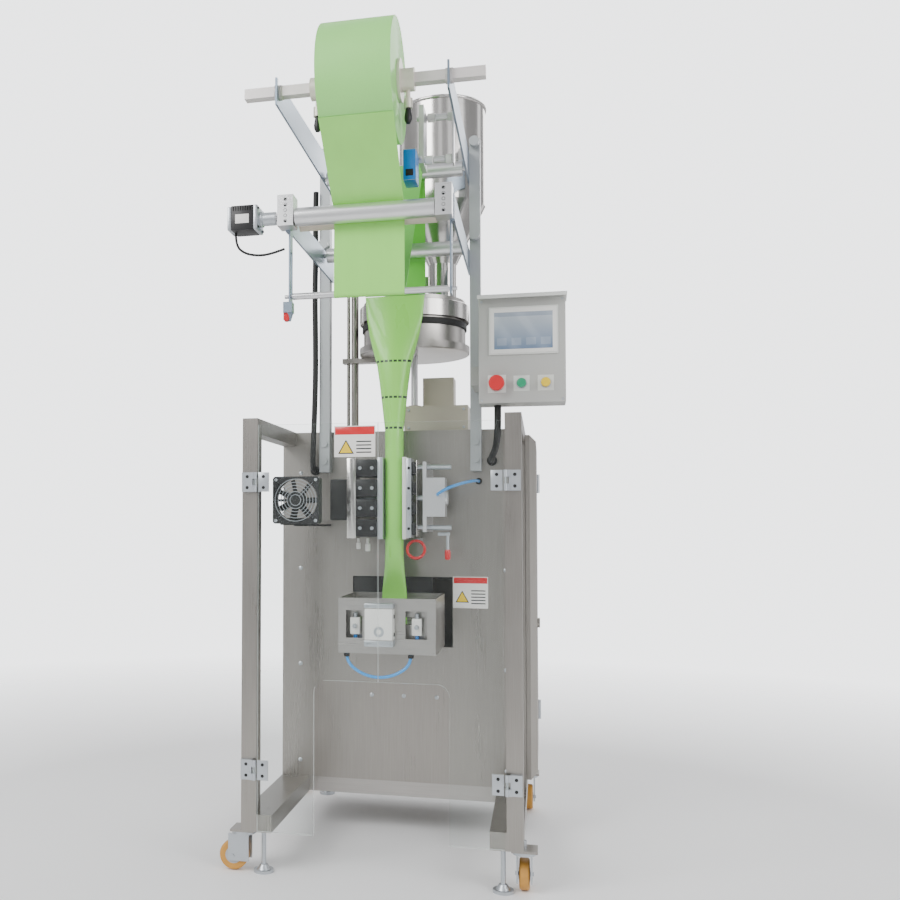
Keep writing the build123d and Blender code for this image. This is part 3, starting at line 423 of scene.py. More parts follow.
MATT_BLACK = Finish("black_rubber", (0.007, 0.007, 0.007), rough=0.58)
BLUE = Finish("blue_plastic", (0.01, 0.20, 0.62), rough=0.35, coat=0.2)
HOSE_BLUE = Finish("blue_hose", (0.04, 0.30, 0.72), rough=0.28, coat=0.3)
RED = Finish("red_plastic", (0.62, 0.015, 0.02), rough=0.3, coat=0.3)
GREEN = Finish("green_button", (0.01, 0.30, 0.14), rough=0.3, coat=0.3)
YELLOW = Finish("yellow_button", (0.80, 0.56, 0.02), rough=0.3, coat=0.3)
WHITE = Finish("white_plastic", (0.78, 0.77, 0.74), rough=0.4)
KNIFE = BrushedSheet("ground_knife", (0.62, 0.63, 0.65), rough=0.25, grain=Grain.ACROSS_X)
KRAFT = Finish("paper_core", (0.40, 0.28, 0.17), rough=0.8)
ROLL_GREEN = Finish("roll_green", (0.30, 0.74, 0.19), rough=0.46, coat=0.15, speckle=0.1)
TAPE = FilmDye("film_green", (0.33, 0.84, 0.15))
# The same film as TAPE in a darker green: painted shade on the rear runs of film.
FILM_GREEN_PAINTED_SHADE = FilmDye("film_green_painted_shade", (0.16, 0.62, 0.08))
TAPE_PRINTED = FilmDye("film_printed", (0.33, 0.86, 0.14), bands=(1.340, 1.240, 1.155))
ACRYLIC = ClearSheet("clear_acrylic", (0.86, 0.91, 0.90))
_MADE: dict[str, bpy.types.Material] = {}


def paint(finish: Finish) -> bpy.types.Material:
    """Return the material of a finish, made once."""
    if finish.name not in _MADE:
        _MADE[finish.name] = finish.make()
    return _MADE[finish.name]


def dress(node: str, finish: Finish) -> None:
    """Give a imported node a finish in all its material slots.

    Args:
        node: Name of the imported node.
        finish: Its finish.
    """
    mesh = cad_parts[node].data
    mesh.materials.clear()
    mesh.materials.append(paint(finish))
    for face in mesh.polygons:
        face.material_index = 0
    log.info("dressed %s in %s", node, finish.name)


def ring(radius: float, wire: float, step: int) -> list[tuple[float, float]]:
    """Return the section of a round wire bent to a ring.

    Args:
        radius: Radius of the ring in millimetres.
        wire: Radius of the wire.
        step: Degrees between the section's points.

    Returns:
        Pairs of radius and height along the axis.
    """
    turns = [math.radians(v) for v in range(0, 361, step)]
    return [(radius + wire * math.cos(a), wire * math.sin(a)) for a in turns]


def arc(middle: tuple[float, float], radius: float, degrees: Iterable[int]) -> list[tuple[float, float]]:
    """Return points of a circle in the YZ plane.

    Args:
        middle: Its middle.
        radius: Its radius in millimetres.
        degrees: Angles of the points.

    Returns:
        Pairs of Y and Z.
    """
    y, z = middle
    turns = [math.radians(v) for v in degrees]
    return [(y + radius * math.cos(a), z + radius * math.sin(a)) for a in turns]


class Maker:
    """Builds one piece's mesh from bmesh operators, in local millimetres."""

    def __init__(self, name: str, body: str) -> None:
        """Start a piece.

        Args:
            name: Name of the piece.
            body: Body that it rides on.
        """
        self.name, self.body = name, body
        self.mesh = bmesh.new()
        self.finishes: list[Finish] = []

    def _index(self, finish: Finish) -> int:
        """Return the material index of a finish, adding it when new."""
        if finish not in self.finishes:
            self.finishes.append(finish)
        return self.finishes.index(finish)

    def _join(self, part: bmesh.types.BMesh, finish: Finish) -> None:
        """Add a finished part to the piece."""
        index = self._index(finish)
        for face in part.faces:
            face.material_index = index
        temporary = bpy.data.meshes.new("part")
        part.to_mesh(temporary)
        part.free()
        self.mesh.from_mesh(temporary)
        bpy.data.meshes.remove(temporary)

    def block(self, low: Point, high: Point, finish: Finish, edge: float = 1.0,
              turn: Matrix | None = None) -> None:
        """Add a block with softened edges.

        Args:
            low: Lowest corner in local millimetres.
            high: Highest corner.
            finish: Its finish.
            edge: Width of the bevel in millimetres.
            turn: Rotation about the block's middle.
        """
        part = bmesh.new()
        bmesh.ops.create_cube(part, size=1.0)
        size = [(b - a) / 1000 for a, b in zip(low, high)]
        middle = at(*[(a + b) / 2 for a, b in zip(low, high)])
        bmesh.ops.scale(part, vec=size, verts=part.verts)
        if edge > 0:
            bmesh.ops.bevel(part, geom=part.edges[:], offset=edge / 1000, segments=2, profile=0.5,
                            affect="EDGES", material=-1)
        if turn is not None:
            bmesh.ops.transform(part, matrix=turn, verts=part.verts)
        bmesh.ops.translate(part, vec=middle, verts=part.verts)
        self._join(part, finish)

    def turned(self, axis: Turn, base: Point, profile: Iterable[tuple[float, float]], finish: Finish,
               steps: int = 40) -> None:
        """Add a turned shape.

        Args:
            axis: Axis it is turned about.
            base: Local point where the profile's distance along the axis is 0.
            profile: Points of (radius, distance along the axis) in millimetres.
            finish: Its finish.
            steps: Number of steps round.
        """
        part = bmesh.new()
        line = [part.verts.new((r / 1000, 0, d / 1000)) for r, d in profile]
        edges = [part.edges.new(pair) for pair in zip(line, line[1:])]
        bmesh.ops.spin(part, geom=line + edges, axis=(0, 0, 1), cent=(0, 0, 0), steps=steps,
                       angle=2 * math.pi, use_merge=True)
        bmesh.ops.remove_doubles(part, verts=part.verts[:], dist=1e-6)
        bmesh.ops.recalc_face_normals(part, faces=part.faces[:])
        towards = {Turn.X: Matrix.Rotation(math.pi / 2, 4, "Y"),
                   Turn.Y: Matrix.Rotation(-math.pi / 2, 4, "X"), Turn.Z: Matrix.Identity(4)}[axis]
        bmesh.ops.transform(part, matrix=Matrix.Translation(at(*base)) @ towards, verts=part.verts)
        self._join(part, finish)

    def rod(self, axis: Turn, base: Point, radius: float, length: float, finish: Finish,
            edge: float = 0.8) -> None:
        """Add a round bar with chamfered ends, from base along the axis."""
        self.turned(axis, base, [(0, 0), (radius - edge, 0), (radius, edge), (radius, length - edge),
                                 (radius - edge, length), (0, length)], finish)

    def screw(self, axis: Turn, base: Point, radius: float, height: float, finish: Finish) -> None:
        """Add a socket screw head whose recess faces outwards along the axis."""
        self.turned(axis, base, [(0, 0), (radius, 0), (radius, height - 0.5), (radius - 0.5, height),
                                 (radius * 0.55, height), (radius * 0.55, height * 0.4),
                                 (0, height * 0.4)], finish, 20)

    def sheet(self, columns: Sequence[Sequence[Point]], finish: Finish, thick: float) -> None:
        """Add a skin through rows of points, then give it a thickness.

        Args:
            columns: Rows of local points, all of one length.
            finish: Its finish.
            thick: Thickness in millimetres.
        """
        part = bmesh.new()
        rows = []
        for column in columns:
            verts = [part.verts.new(at(*p)) for p in column]
            rows.append([part.edges.new(pair) for pair in zip(verts, verts[1:])])
        for one, two in zip(rows, rows[1:]):
            bmesh.ops.bridge_loops(part, edges=one + two)
        bmesh.ops.recalc_face_normals(part, faces=part.faces[:])
        bmesh.ops.solidify(part, geom=part.faces[:], thickness=thick / 1000)
        self._join(part, finish)

    def done(self, slot: str, *stood_for: str) -> bpy.types.Object:
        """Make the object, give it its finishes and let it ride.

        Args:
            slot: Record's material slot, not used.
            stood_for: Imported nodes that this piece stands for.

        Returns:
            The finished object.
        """
        mesh = bpy.data.meshes.new(self.name)
        self.mesh.to_mesh(mesh)
        self.mesh.free()
        for finish in self.finishes:
            mesh.materials.append(paint(finish))
        made = bpy.data.objects.new(self.name, mesh)
        bpy.context.scene.collection.objects.link(made)
        mesh.shade_smooth()
        mesh.set_sharp_from_angle(angle=SHARP_ANGLE)
        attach(made, self.body)
        if stood_for:
            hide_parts(*stood_for)
        log.info("made %s on %s", self.name, self.body)
        return made


def hose(name: str, body: str, points: Sequence[Point], diameter: float, finish: Finish) -> bpy.types.Object:
    """Lay a hose or cable, which goes into the machine at both ends, as one smooth line.

    Args:
        name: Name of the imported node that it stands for.
        body: Body that it rides on.
        points: Local points of its route.
        diameter: Its diameter in millimetres.
        finish: Its finish.

    Returns:
        The hose.
    """
    curve = bpy.data.curves.new(name + "_line", "CURVE")
    curve.dimensions = "3D"
    curve.bevel_depth, curve.bevel_resolution = diameter / 2000, 5
    curve.use_fill_caps = True
    curve.resolution_u = 10
    line = curve.splines.new("NURBS")
    line.points.add(len(points) - 1)
    for point, place in zip(line.points, points):
        point.co = (*at(*place), 1.0)
    line.order_u, line.use_endpoint_u = 3, True
    curve.materials.append(paint(finish))
    made = bpy.data.objects.new(name + "_line", curve)
    bpy.context.scene.collection.objects.link(made)
    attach(made, body)
    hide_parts(name)
    tuple(at(*points[0]))
    log.info("laid %s", name)
    return made


@dataclass
class Film:
    """The film: roll, runs over the rollers and the tube that the forming shoulder makes of it."""

    width: float = 170.0
    reel: Point = REEL
    dancer: Point = (0.0, -122.0, 1441.0)
    turn: Point = (0.0, 300.0, 1870.0)
    closed: float = 1300.0  # the tube is closed all round below this height
    opening: float = 60.0   # and open at the back this far above it
    # (height, half width, half depth, middle in Y) of the tube's sections
    steps: tuple[tuple[float, float, float, float], ...] = (
        (1528.0, 83.0, 4.0, 316.0), (1470.0, 78.0, 10.0, 308.0), (1415.0, 69.0, 19.0, 304.0),
        (1370.0, 58.0, 23.0, 300.0), (1330.0, 47.0, 25.0, 298.0), (1280.0, 40.0, 25.0, 299.0),
        (1236.0, 35.0, 24.6, 299.0), (1190.0, 30.0, 24.6, 300.0), (1150.0, 25.4, 24.6, 300.0),
        (1090.0, 25.0, 24.6, 300.0), (980.0, 25.2, 24.5, 300.0), (880.0, 24.8, 24.6, 300.0),
        (800.0, 25.0, 24.5, 300.0), (770.0, 26.5, 22.0, 300.0), (735.0, 30.0, 11.0, 300.0),
        (705.0, 33.0, 2.4, 300.0), (688.0, 33.5, 0.8, 300.0), (626.0, 33.5, 0.8, 300.0))

    def roll(self) -> None:
        """Make the roll: wound film with fine layer lines at its ends around a paper core."""
        maker = Maker("film_roll_wound", "reel")
        half = self.width / 2
        rings = [(44.0, -half + 0.4), (44.0, -half + 0.2)]
        radius = 50.0
        while radius < 136:
            rings += [(radius - 2.4, -half + 0.5), (radius, -half + 0.9), (radius + 0.4, -half + 0.4)]
            radius += 7.0
        rings += [(138.6, -half + 0.5), (139.6, -half + 1.5), (139.8, 0.0)]
        mirrored = [(r, -d) for r, d in reversed(rings[:-1])]
        maker.turned(Turn.X, self.reel, rings + mirrored, ROLL_GREEN, 96)
        maker.turned(Turn.X, self.reel, [(38.2, -half + 0.1), (43.8, -half + 0.1), (43.8, half - 0.1),
                                         (38.2, half - 0.1), (38.2, -half + 0.1)], KRAFT, 64)
        maker.done("green_film", "film_roll")

    def _band(self, name: str, line: Sequence[tuple[float, float]], finish: Finish,
              node: str) -> bpy.types.Object:
        """Make one flat run of film from points in the YZ plane."""
        maker = Maker(name, "root")
        half = self.width / 2
        maker.sheet([[(x, y, z) for y, z in line] for x in (-half, -half / 2, 0.0, half / 2, half)], finish,
                    0.5)
        return maker.done("green_film", node)

    def runs(self) -> None:
        """Make the runs between roll, drive, dancer, turn roller and shoulder."""
        wrap = [(-135.8, 1644.4), (-132.5, 1640.8), (-130.0, 1636.7), (-128.5, 1632.1), (-128.2, 1619.0)]
        self._band("film_from_roll", [(-312.8, 1798.9), (-224.3, 1721.6)] + wrap, TAPE, "film_unwind_run")
        _, cy, cz = self.dancer
        bend = arc((cy, cz), 8.9, range(180, 361, 15))
        loop = self._band("film_loop", [(-128.4, 1617.6), (-129.6, 1530.0)] + bend + [(-113.2, 1441.2)],
                          TAPE, "film_dancer_loop")
        tuple(at(0, -122, 1618))
        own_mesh(loop)
        _, ty, tz = self.turn
        over = arc((ty, tz), 20.9, range(138, -1, -11))
        # The rear runs use the darker copy of the film as painted shade.
        rise = self._band("film_to_turn", [(-113.2, 1442.2), (85.6, 1663.1)] + over[:6], FILM_GREEN_PAINTED_SHADE,
                          "film_rear_run")
        tuple(at(0, 300, 1891))
        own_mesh(rise)
        self._band("film_to_shoulder", over[5:] + [(320.9, 1700.0), (320.6, 1531.0)], FILM_GREEN_PAINTED_SHADE,
                   "film_rear_run")

    def tube(self) -> None:
        """Make the folded shoulder and the tube of film down to the cut edge."""
        maker = Maker("film_folded", "root")
        turns = [math.radians(v) for v in range(-268, 89, 4)]
        columns = []
        for a in turns:
            column = []
            for z, w, d, y in self.steps:
                angle = a
                if z >= self.closed:
                    lap = 0.02 + max(0.0, 1 - (z - self.closed) / self.opening) * 1.5
                    angle = max(-math.pi - lap, min(lap, a))
                column.append((w * math.cos(angle), y + d * math.sin(angle), z))
            columns.append(column)
        maker.sheet(columns, TAPE_PRINTED, 0.4)
        maker.done("green_film", "film_tube")

    def build(self) -> None:
        """Make every part of the film."""
        self.roll()
        self.runs()
        self.tube()


@dataclass
class FilmFeed:
    """Reel shaft, chucks, arms, rollers, motor and eye."""

    reel: Point = REEL
    drive: Point = (0.0, -151.0, 1627.0)

    def dress_rollers(self) -> None:
        """Give rollers, arms and blocks their finishes."""
        for node in ("drive_roller", "turn_roller", "lower_guide_roller", "dancer_roller", "bearing_blocks"):
            dress(node, ALUMINIUM)
        dress("pinch_roller", BEIGE)
        dress("reel_shaft", PALE)
        dress("upper_arms", ZINC)
        dress("lower_arms", ZINC)
        dress("dancer_guides", ZINC)
        dress("reel_chucks", CREAM)
        dress("film_eye", ALUMINIUM)

    def knobs(self) -> None:
        """Add a teardrop locking knob under each reel collar."""
        maker = Maker("reel_lock_knobs", "reel")
        _, y, z = self.reel
        for x in (-106.0, 106.0):
            maker.turned(Turn.Z, (x, y, z - 44),
                         [(0, -58), (5, -57), (8.4, -50), (9, -42), (7, -30), (4.6, -18), (4.2, -8),
                          (5.5, -2), (5.5, 0), (0, 0)], BLACK, 28)
            maker.rod(Turn.Z, (x, y, z - 46), 3.0, 24.0, ZINC_CAST)
        maker.done("black_rubber")

    def motor(self) -> None:
        """Make the unwind motor: ribbed black body between silver end caps, with a blank plate."""
        maker = Maker("unwind_motor_body", "root")
        _, y, z = self.drive
        maker.block((-329, y - 30, z - 30), (-273, y + 30, z + 30), BLACK, 2.0)
        maker.block((-339, y - 29, z - 29), (-328.6, y + 29, z + 29), ZINC_CAST, 3.0)
        maker.block((-273.4, y - 30, z - 30), (-263, y + 30, z + 30), ZINC_CAST, 3.0)
        for dy in (-23, 23):
            for dz in (-23, 23):
                maker.screw(Turn.X, (-263.4, y + dy, z + dz), 3.2, 2.6, MATT_BLACK)
        for rib in range(8):
            maker.block((-324 + rib * 6, y - 30.0, z + 16), (-321.5 + rib * 6, y - 29.2, z + 28), MATT_BLACK,
                        0.2)
        maker.block((-318, y - 30.4, z - 14), (-284, y - 29.8, z + 8), WHITE, 0.2)
        maker.turned(Turn.X, (-263, y, z), [(0, 0), (19, 0), (19, 7), (16, 9), (16, 40), (8, 41), (0, 41)],
                     ZINC_CAST)
        maker.block((-332, y - 12, z + 29), (-300, y + 12, z + 30), BLACK, 0.4)
        maker.done("black_housing", "unwind_motor")

    def holes(self) -> None:
        """Mark the column of tapped holes on the front of each bearing block with black discs, painted shade
        inside the holes.
        """
        maker = Maker("bearing_block_holes_painted_shade", "root")
        for x in (-195.0, 181.0):
            for step in range(5):
                # Each black disc is painted shade inside a tapped hole.
                maker.turned(Turn.Y, (x, -175.0, 1613 + step * 13),
                             [(0, 0.4), (3.2, 0.4), (3.2, -0.4), (4.0, -0.5), (4.3, 0.2)], MATT_BLACK, 20)
        maker.done("black_rubber")

    def eye(self) -> None:
        """Add the blue case of the film eye and the pale sleeves on its bars."""
        maker = Maker("film_eye_case", "root")
        maker.block((81.4, -130.6, 1703.4), (112.6, -71.4, 1778.6), BLUE, 2.5)
        maker.block((88, -131.2, 1714), (106, -130.2, 1730), MATT_BLACK, 0.8)
        for y, z in ((-60.0, 1772.0), (0.0, 1900.0)):
            maker.rod(Turn.X, (126, y, z), 11.0, 20.0, WHITE, 1.5)
            maker.rod(Turn.X, (147, y, z), 8.5, 28.0, ALUMINIUM, 1.0)
            maker.rod(Turn.X, (176, y, z), 11.0, 16.0, WHITE, 1.5)
        maker.done("blue_plastic")

    def tips(self) -> None:
        """Add the red tip at the foot of the left dancer strip."""
        maker = Maker("dancer_strip_tips", "root")
        low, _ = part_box("dancer_guides")
        x = low[0] * 1000 + MID_X + 6.5
        maker.block((x - 7.5, -129.5, 1383), (x + 7.5, -114.5, 1424), RED, 2.5)
        maker.turned(Turn.Z, (x, -122.0, 1383), [(0, -2.5), (4.5, -2.5), (5.5, 0), (0, 0.5)], RED, 24)
        maker.done("red_plastic")

    def build(self) -> None:
        """Make the whole feed."""
        self.dress_rollers()
        self.knobs()
        self.motor()
        self.holes()
        self.eye()
        self.tips()


@dataclass
class Dosing:
    """Hopper, dosing pan, cup disc, stand, gear housing and chute."""

    hopper: Point = (112.0, 532.0, 2130.0)
    pan: Point = (30.0, 517.0, 1390.0)

    def build(self) -> None:
        """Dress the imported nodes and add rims, hoop and fittings."""
        for node, finish in (("hopper", POLISHED), ("dosing_pan", STEEL_X), ("cup_disc", ALUMINIUM),
                             ("feeder_stand", STEEL), ("feeder_drive", KHAKI), ("forming_tube", POLISHED)):
            dress(node, finish)
        hx, hy, hz = self.hopper
        maker = Maker("hopper_rim", "root")
        maker.turned(Turn.Z, (hx, hy, hz),
                     [(125.4, -7), (127.0, -7.4), (127.4, -5), (127.6, -2.6), (126.6, -0.4), (124.4, 0),
                      (122.4, -1.6), (122.6, -4.6), (125.2, -6.4)], ZINC_CAST, 96)
        maker.done("brushed_stainless")
        px, py, pz = self.pan
        hoop = Maker("dosing_pan_hoop", "root")
        hoop.turned(Turn.Z, (px, py, pz + 96),
                    [(160.2, -1.5), (161.9, -1.5), (161.9, 12), (161.9, 44), (160.9, 45.2), (160.0, 44),
                     (160.0, 0)], POLISHED, 96)
        hoop.turned(Turn.Z, (px, py, pz + 80),
                    [(153.0, -9), (154.4, -9), (154.4, 9), (153.0, 9), (153.0, -9)], MATT_BLACK, 96)
        hoop.done("brushed_stainless")
        bolts = Maker("gear_housing_bolts", "root")
        for x in (18.0, 178.0):
            for z in (1172.0, 1224.0):
                bolts.turned(Turn.Y, (x, 471.9, z), [(0, -3.4), (3.4, -3.4), (4, -2.6), (4, 0.2), (0, 0.2)],
                             ZINC_CAST, 16)
        bolts.done("zinc_steel")


@dataclass
class Sealers:
    """Vertical sealer, cutter carriage, knife and their small fittings."""

    horn: tuple[float, float] = (848.0, 1073.0)  # foot and top of the sealing bars
    pitch: float = 55.0                          # from block to block of a bar

    def horn_side(self) -> None:
        """Make the heated side: a bar of black blocks with screws beside a silver plate."""
        maker = Maker("horn_blocks", "root")
        low, high = self.horn
        maker.block((-42, 262, low), (-26.4, 318, high), ZINC_CAST, 1.5)
        for step in range(4):
            z0 = low + 6 + step * self.pitch
            maker.block((-100, 251, z0), (-43, 316, z0 + 48), BLACK, 2.5)
            for dx in (-88, -55):
                maker.turned(Turn.Y, (dx, 251.2, z0 + 24),
                             [(0, -0.6), (2.6, -0.6), (2.6, -3.6), (4.2, -3.6), (4.8, -3), (4.8, 0.4)],
                             ZINC_CAST, 20)
        maker.block((-126, 256, low + 2), (-100.2, 320, high - 2), POLISHED, 1.5)
        maker.block((-174, 262, low + 52), (-126.2, 330, high - 60), MATT_BLACK, 3.0)
        for z in (low + 64, high - 72):
            maker.screw(Turn.Z, (-150, 296, z + 10), 4.5, 4.0, ZINC_CAST)
        maker.block((-160, 326, low + 70), (-60, 430, high - 80), ZINC_CAST, 2.0)
        maker.turned(Turn.Z, (-74, 296, low - 34),
                     [(0, 0), (6, 0), (7, 2), (7, 20), (4, 22), (4, 36), (0, 36)], WHITE, 28)
        maker.turned(Turn.Z, (-100, 296, low - 28),
                     [(0, 0), (5, 0), (6, 2), (6, 17), (3.4, 19), (3.4, 30), (0, 30)], WHITE, 28)
        maker.done("black_housing", "horn_unit")

    def anvil_side(self) -> None:
        """Make the moving side: pale bar, black spacers, silver plate."""
        maker = Maker("anvil_bar", "anvil")
        low, high = self.horn
        maker.block((26.4, 262, low), (38, 318, high), WHITE, 1.5)
        maker.block((38.2, 258, low + 4), (52, 324, high - 4), ZINC_CAST, 1.5)
        for step in range(4):
            z0 = low + 12 + step * self.pitch
            maker.block((52.2, 264.5, z0), (65.8, 315, z0 + 34), BLACK, 2.0)
            maker.turned(Turn.Y, (45, 258.2, z0 + 17),
                         [(0, -0.6), (2.2, -0.6), (2.2, -3), (3.4, -3), (4, -2.4), (4, 0.4)], MATT_BLACK, 18)
        maker.block((66.0, 254, low + 8), (68.0, 326, high - 10), POLISHED, 0.6)
        for z in (low + 32, high - 28):
            maker.rod(Turn.X, (67.8, 280, z), 6.8, 90.0, ZINC_CAST)
        maker.rod(Turn.X, (67.8, 280, (low + high) / 2), 7.8, 48.0, ZINC_CAST)
        maker.done("machined_aluminium", "anvil_jaw")

    def lever(self) -> None:
        """Add the red-tipped release lever and the red ring beside the tube."""
        maker = Maker("release_lever", "root")
        maker.rod(Turn.Z, (146, 300, 816), 4.2, 52.0, ZINC_CAST)
        maker.turned(Turn.Z, (146, 300, 792), [(0, 0), (6, 1), (8, 6), (8, 22), (6, 28), (0, 28)], RED, 28)
        maker.block((120, 294, 858), (152, 306, 867), ZINC_CAST, 1.5)
        maker.done("zinc_steel")
        guard = Maker("red_guard_ring", "root")
        guard.turned(Turn.Y, (60, 296, 820), ring(24, 4, 30), RED, 48)
        guard.block((56, 300, 842), (64, PANEL_Y, 850), ZINC_CAST, 1.0)
        guard.done("red_plastic")

    def actuator(self) -> None:
        """Add the pale jaw actuator on the carriage front and the small valves in its windows."""
        maker = Maker("carriage_actuator", "carriage")
        maker.block((-50.4, 95.4, 590), (24.4, 129.8, 672), WHITE, 3.0)
        maker.block((-50.6, 95.2, 573.6), (24.6, 129.8, 589.6), ZINC_CAST, 2.0)
        maker.block((-50.6, 95.2, 672.4), (24.6, 129.8, 684.4), ZINC_CAST, 2.0)
        for z in (600.0, 646.0):
            maker.block((-52.5, 108, z), (26.5, 114, z + 10), MATT_BLACK, 0.8)
        for x in (-42.0, 16.0):
            for z in (581.0, 678.5):
                maker.turned(Turn.Y, (x, 95.2, z), [(1.6, -0.2), (1.6, -2.6), (3.4, -2.6), (4, -2), (4, 0.4)],
                             ZINC_CAST, 20)
        maker.turned(Turn.Y, (-12, 95.3, 612), [(6.6, -0.4), (13, -0.4), (14, 0.6), (6.6, 0.6), (6.6, -0.4)],
                     ZINC_CAST, 32)
        for x in (-82.0, 80.0):
            maker.block((x - 13, 140, 600), (x + 13, 158, 644), WHITE, 2.0)
            maker.turned(Turn.Y, (x, 140, 622), [(0, -8), (5, -8), (6, -6), (6, 0.4)], ZINC_CAST, 24)
            maker.turned(Turn.Z, (x, 149, 643), [(0, 0), (6, 0), (6, 12), (4, 14), (0, 14)], ZINC_CAST, 24)
            maker.turned(Turn.Z, (x, 149, 586), [(0, 0), (4, 0), (5, 3), (5, 14), (0, 14)], BLUE, 24)
        for x in (-102.0, 66.0):
            maker.turned(Turn.Z, (x, 131.5, 543), [(4.2, 0), (7, 0), (7.6, 2), (7.6, 9), (4.2, 9), (4.2, 0)],
                         MATT_BLACK, 24)
        maker.done("machined_aluminium")

    def build(self) -> None:
        """Make the sealers and dress the cutter."""
        self.horn_side()
        self.anvil_side()
        self.lever()
        dress("anvil_cylinder", ALUMINIUM)
        dress("cutter_carriage", STEEL_X)
        dress("front_jaw", ALUMINIUM)
        dress("cutter_blade", KNIFE)
        self.actuator()


@dataclass
class FanUnit:
    """Square cooling fan behind a ring grille."""

    centre: Point = (-219.0, 40.0, 950.0)

    def build(self) -> None:
        """Make grille and dress frame and rotor."""
        dress("fan_housing", BLACK)
        dress("fan_rotor", MATT_BLACK)
        x, y, z = self.centre
        maker = Maker("fan_grille", "root")
        for radius in (14, 22, 30, 38, 46, 54):
            maker.turned(Turn.Y, (x, y - 2.4, z), ring(radius, 1.1, 60), ZINC_CAST, 48)
        for index in range(4):
            spin = Matrix.Rotation(math.radians(45 + 90 * index), 4, "Y")
            maker.block((x - 66, y - 2.0, z - 1), (x + 66, y - 0.4, z + 1), ZINC_CAST, 0.3, spin)
        for dx in (-52.5, 52.5):
            for dz in (-52.5, 52.5):
                maker.turned(Turn.Y, (x + dx, y, z + dz), [(0, -3), (3, -3), (4.2, -2), (4.2, 0.2)],
                             ZINC_CAST, 16)
        maker.turned(Turn.Y, (x, y - 1.6, z), [(0, -1), (12.4, -1), (13, -0.2), (13, 1), (0, 1)], MATT_BLACK,
                     40)
        maker.done("zinc_steel")


def caution(maker: Maker, foot: Point, width: float) -> None:
    """Add a blank yellow triangle with a dark rim.

    Args:
        maker: Piece that it is added to.
        foot: Local middle of its lower edge, on its face.
        width: Its width in millimetres.
    """
    x, y, z = foot
    for inset, finish, lift in ((0.0, MATT_BLACK, 0.0), (0.12, YELLOW, -0.15)):
        half, low, tall = width * (0.5 - inset * 0.87), z + width * inset * 0.5, width * (0.87 - inset * 1.5)
        maker.sheet([[(x - half, y + lift, low), (x - 0.3, y + lift, low + tall)],
                     [(x + half, y + lift, low), (x + 0.3, y + lift, low + tall)]], finish, 0.1)


@dataclass
class Cabinet:
    """Frame, cabinet, doors, hinges, labels and masts."""

    door_face: float = -9.0                         # front face of the guard doors
    bolts: tuple[float, ...] = (-84.0, 8.0, 102.0)  # bolts along the top of the lower cover

    def dress_frame(self) -> None:
        """Give the frame, cabinet and doors their finishes."""
        for node in ("left_side_frame", "right_side_frame", "cabinet_shell", "side_door", "front_panel"):
            dress(node, STEEL)
        dress("base_cross_members", STEEL_X)
        dress("masts", MAST_GREY)
        for node in ("left_guard_door", "right_guard_door"):
            dress(node, ACRYLIC)
        dress("post_hinge_leaves", ZINC_CAST)
        dress("levelling_feet", ZINC_CAST)

    def fasteners(self) -> None:
        """Add panel bolts and the dark screws in the hinge leaves."""
        maker = Maker("panel_bolts", "root")
        for x in self.bolts:
            maker.turned(Turn.Y, (x, PANEL_Y, 397), DOME_BOLT, ZINC_CAST, 20)
        for x in (-296.0, 296.0):
            for z in (200.0, 480.0, 760.0, 1040.0):
                maker.turned(Turn.Y, (x, PANEL_Y, z), DOME_BOLT, ZINC_CAST, 20)
        maker.done("zinc_steel")
        screws = Maker("hinge_screws", "root")
        for side in (-1, 1):
            for z0 in HINGE_HEIGHTS:
                for dz in HINGE_SCREWS:
                    screws.turned(Turn.Y, (side * 334, -11.9, z0 + dz), FLAT_SCREW, MATT_BLACK, 18)
        screws.done("zinc_steel")

    def door_fittings(self) -> None:
        """Add each door's hinge leaves and screws, and both blank caution plates."""
        for side, body in ((-1, "left_guard"), (1, "right_guard")):
            maker = Maker(body + "_door_fittings", body)
            for z0 in HINGE_HEIGHTS:
                near, far = sorted((side * 277.0, side * 305.0))
                maker.block((near, self.door_face - 3.3, z0 - 24.6), (far, self.door_face - 0.02, z0 + 24.6),
                            ZINC_CAST, 0.6)
                for dz in HINGE_SCREWS:
                    maker.turned(Turn.Y, (side * 291, self.door_face - 3.2, z0 + dz),
                                 FLAT_SCREW, MATT_BLACK, 18)
            if side < 0:
                maker.block((-108, self.door_face - 0.7, 1056), (-4, self.door_face - 0.02, 1134), WHITE, 0.2)
                maker.block((-106, self.door_face - 0.9, 1112), (-6, self.door_face - 0.6, 1132), RED, 0.1)
                caution(maker, (-78, self.door_face - 0.9, 1064), 40.0)
                for row in range(4):
                    maker.block((-52, self.door_face - 0.9, 1066 + row * 9),
                                (-14, self.door_face - 0.6, 1069 + row * 9), MATT_BLACK, 0.1)
            maker.done("clear_acrylic")
        plate = Maker("panel_caution_plate", "root")
        plate.block((149, 429.2, 652), (247, 429.98, 741), WHITE, 0.2)
        plate.block((151, 429.0, 722), (245, 429.3, 739), RED, 0.1)
        caution(plate, (175, 429.0, 668), 38.0)
        for row in range(5):
            plate.block((200, 429.0, 664 + row * 9), (240, 429.3, 667 + row * 9), MATT_BLACK, 0.1)
        plate.done("red_plastic")

    def slot_trim(self) -> None:
        """Line the slot in the front panel with a dark brush strip."""
        maker = Maker("slot_brush", "root")
        maker.block((-140, 433.5, 536), (92, 436, 744), MATT_BLACK, 0.3)
        maker.block((92, 433.5, 735.2), (150, 436, 744), MATT_BLACK, 0.3)
        maker.done("black_rubber")

    def build(self) -> None:
        """Build the cabinet."""
        self.dress_frame()
        self.fasteners()
        self.door_fittings()
        self.slot_trim()


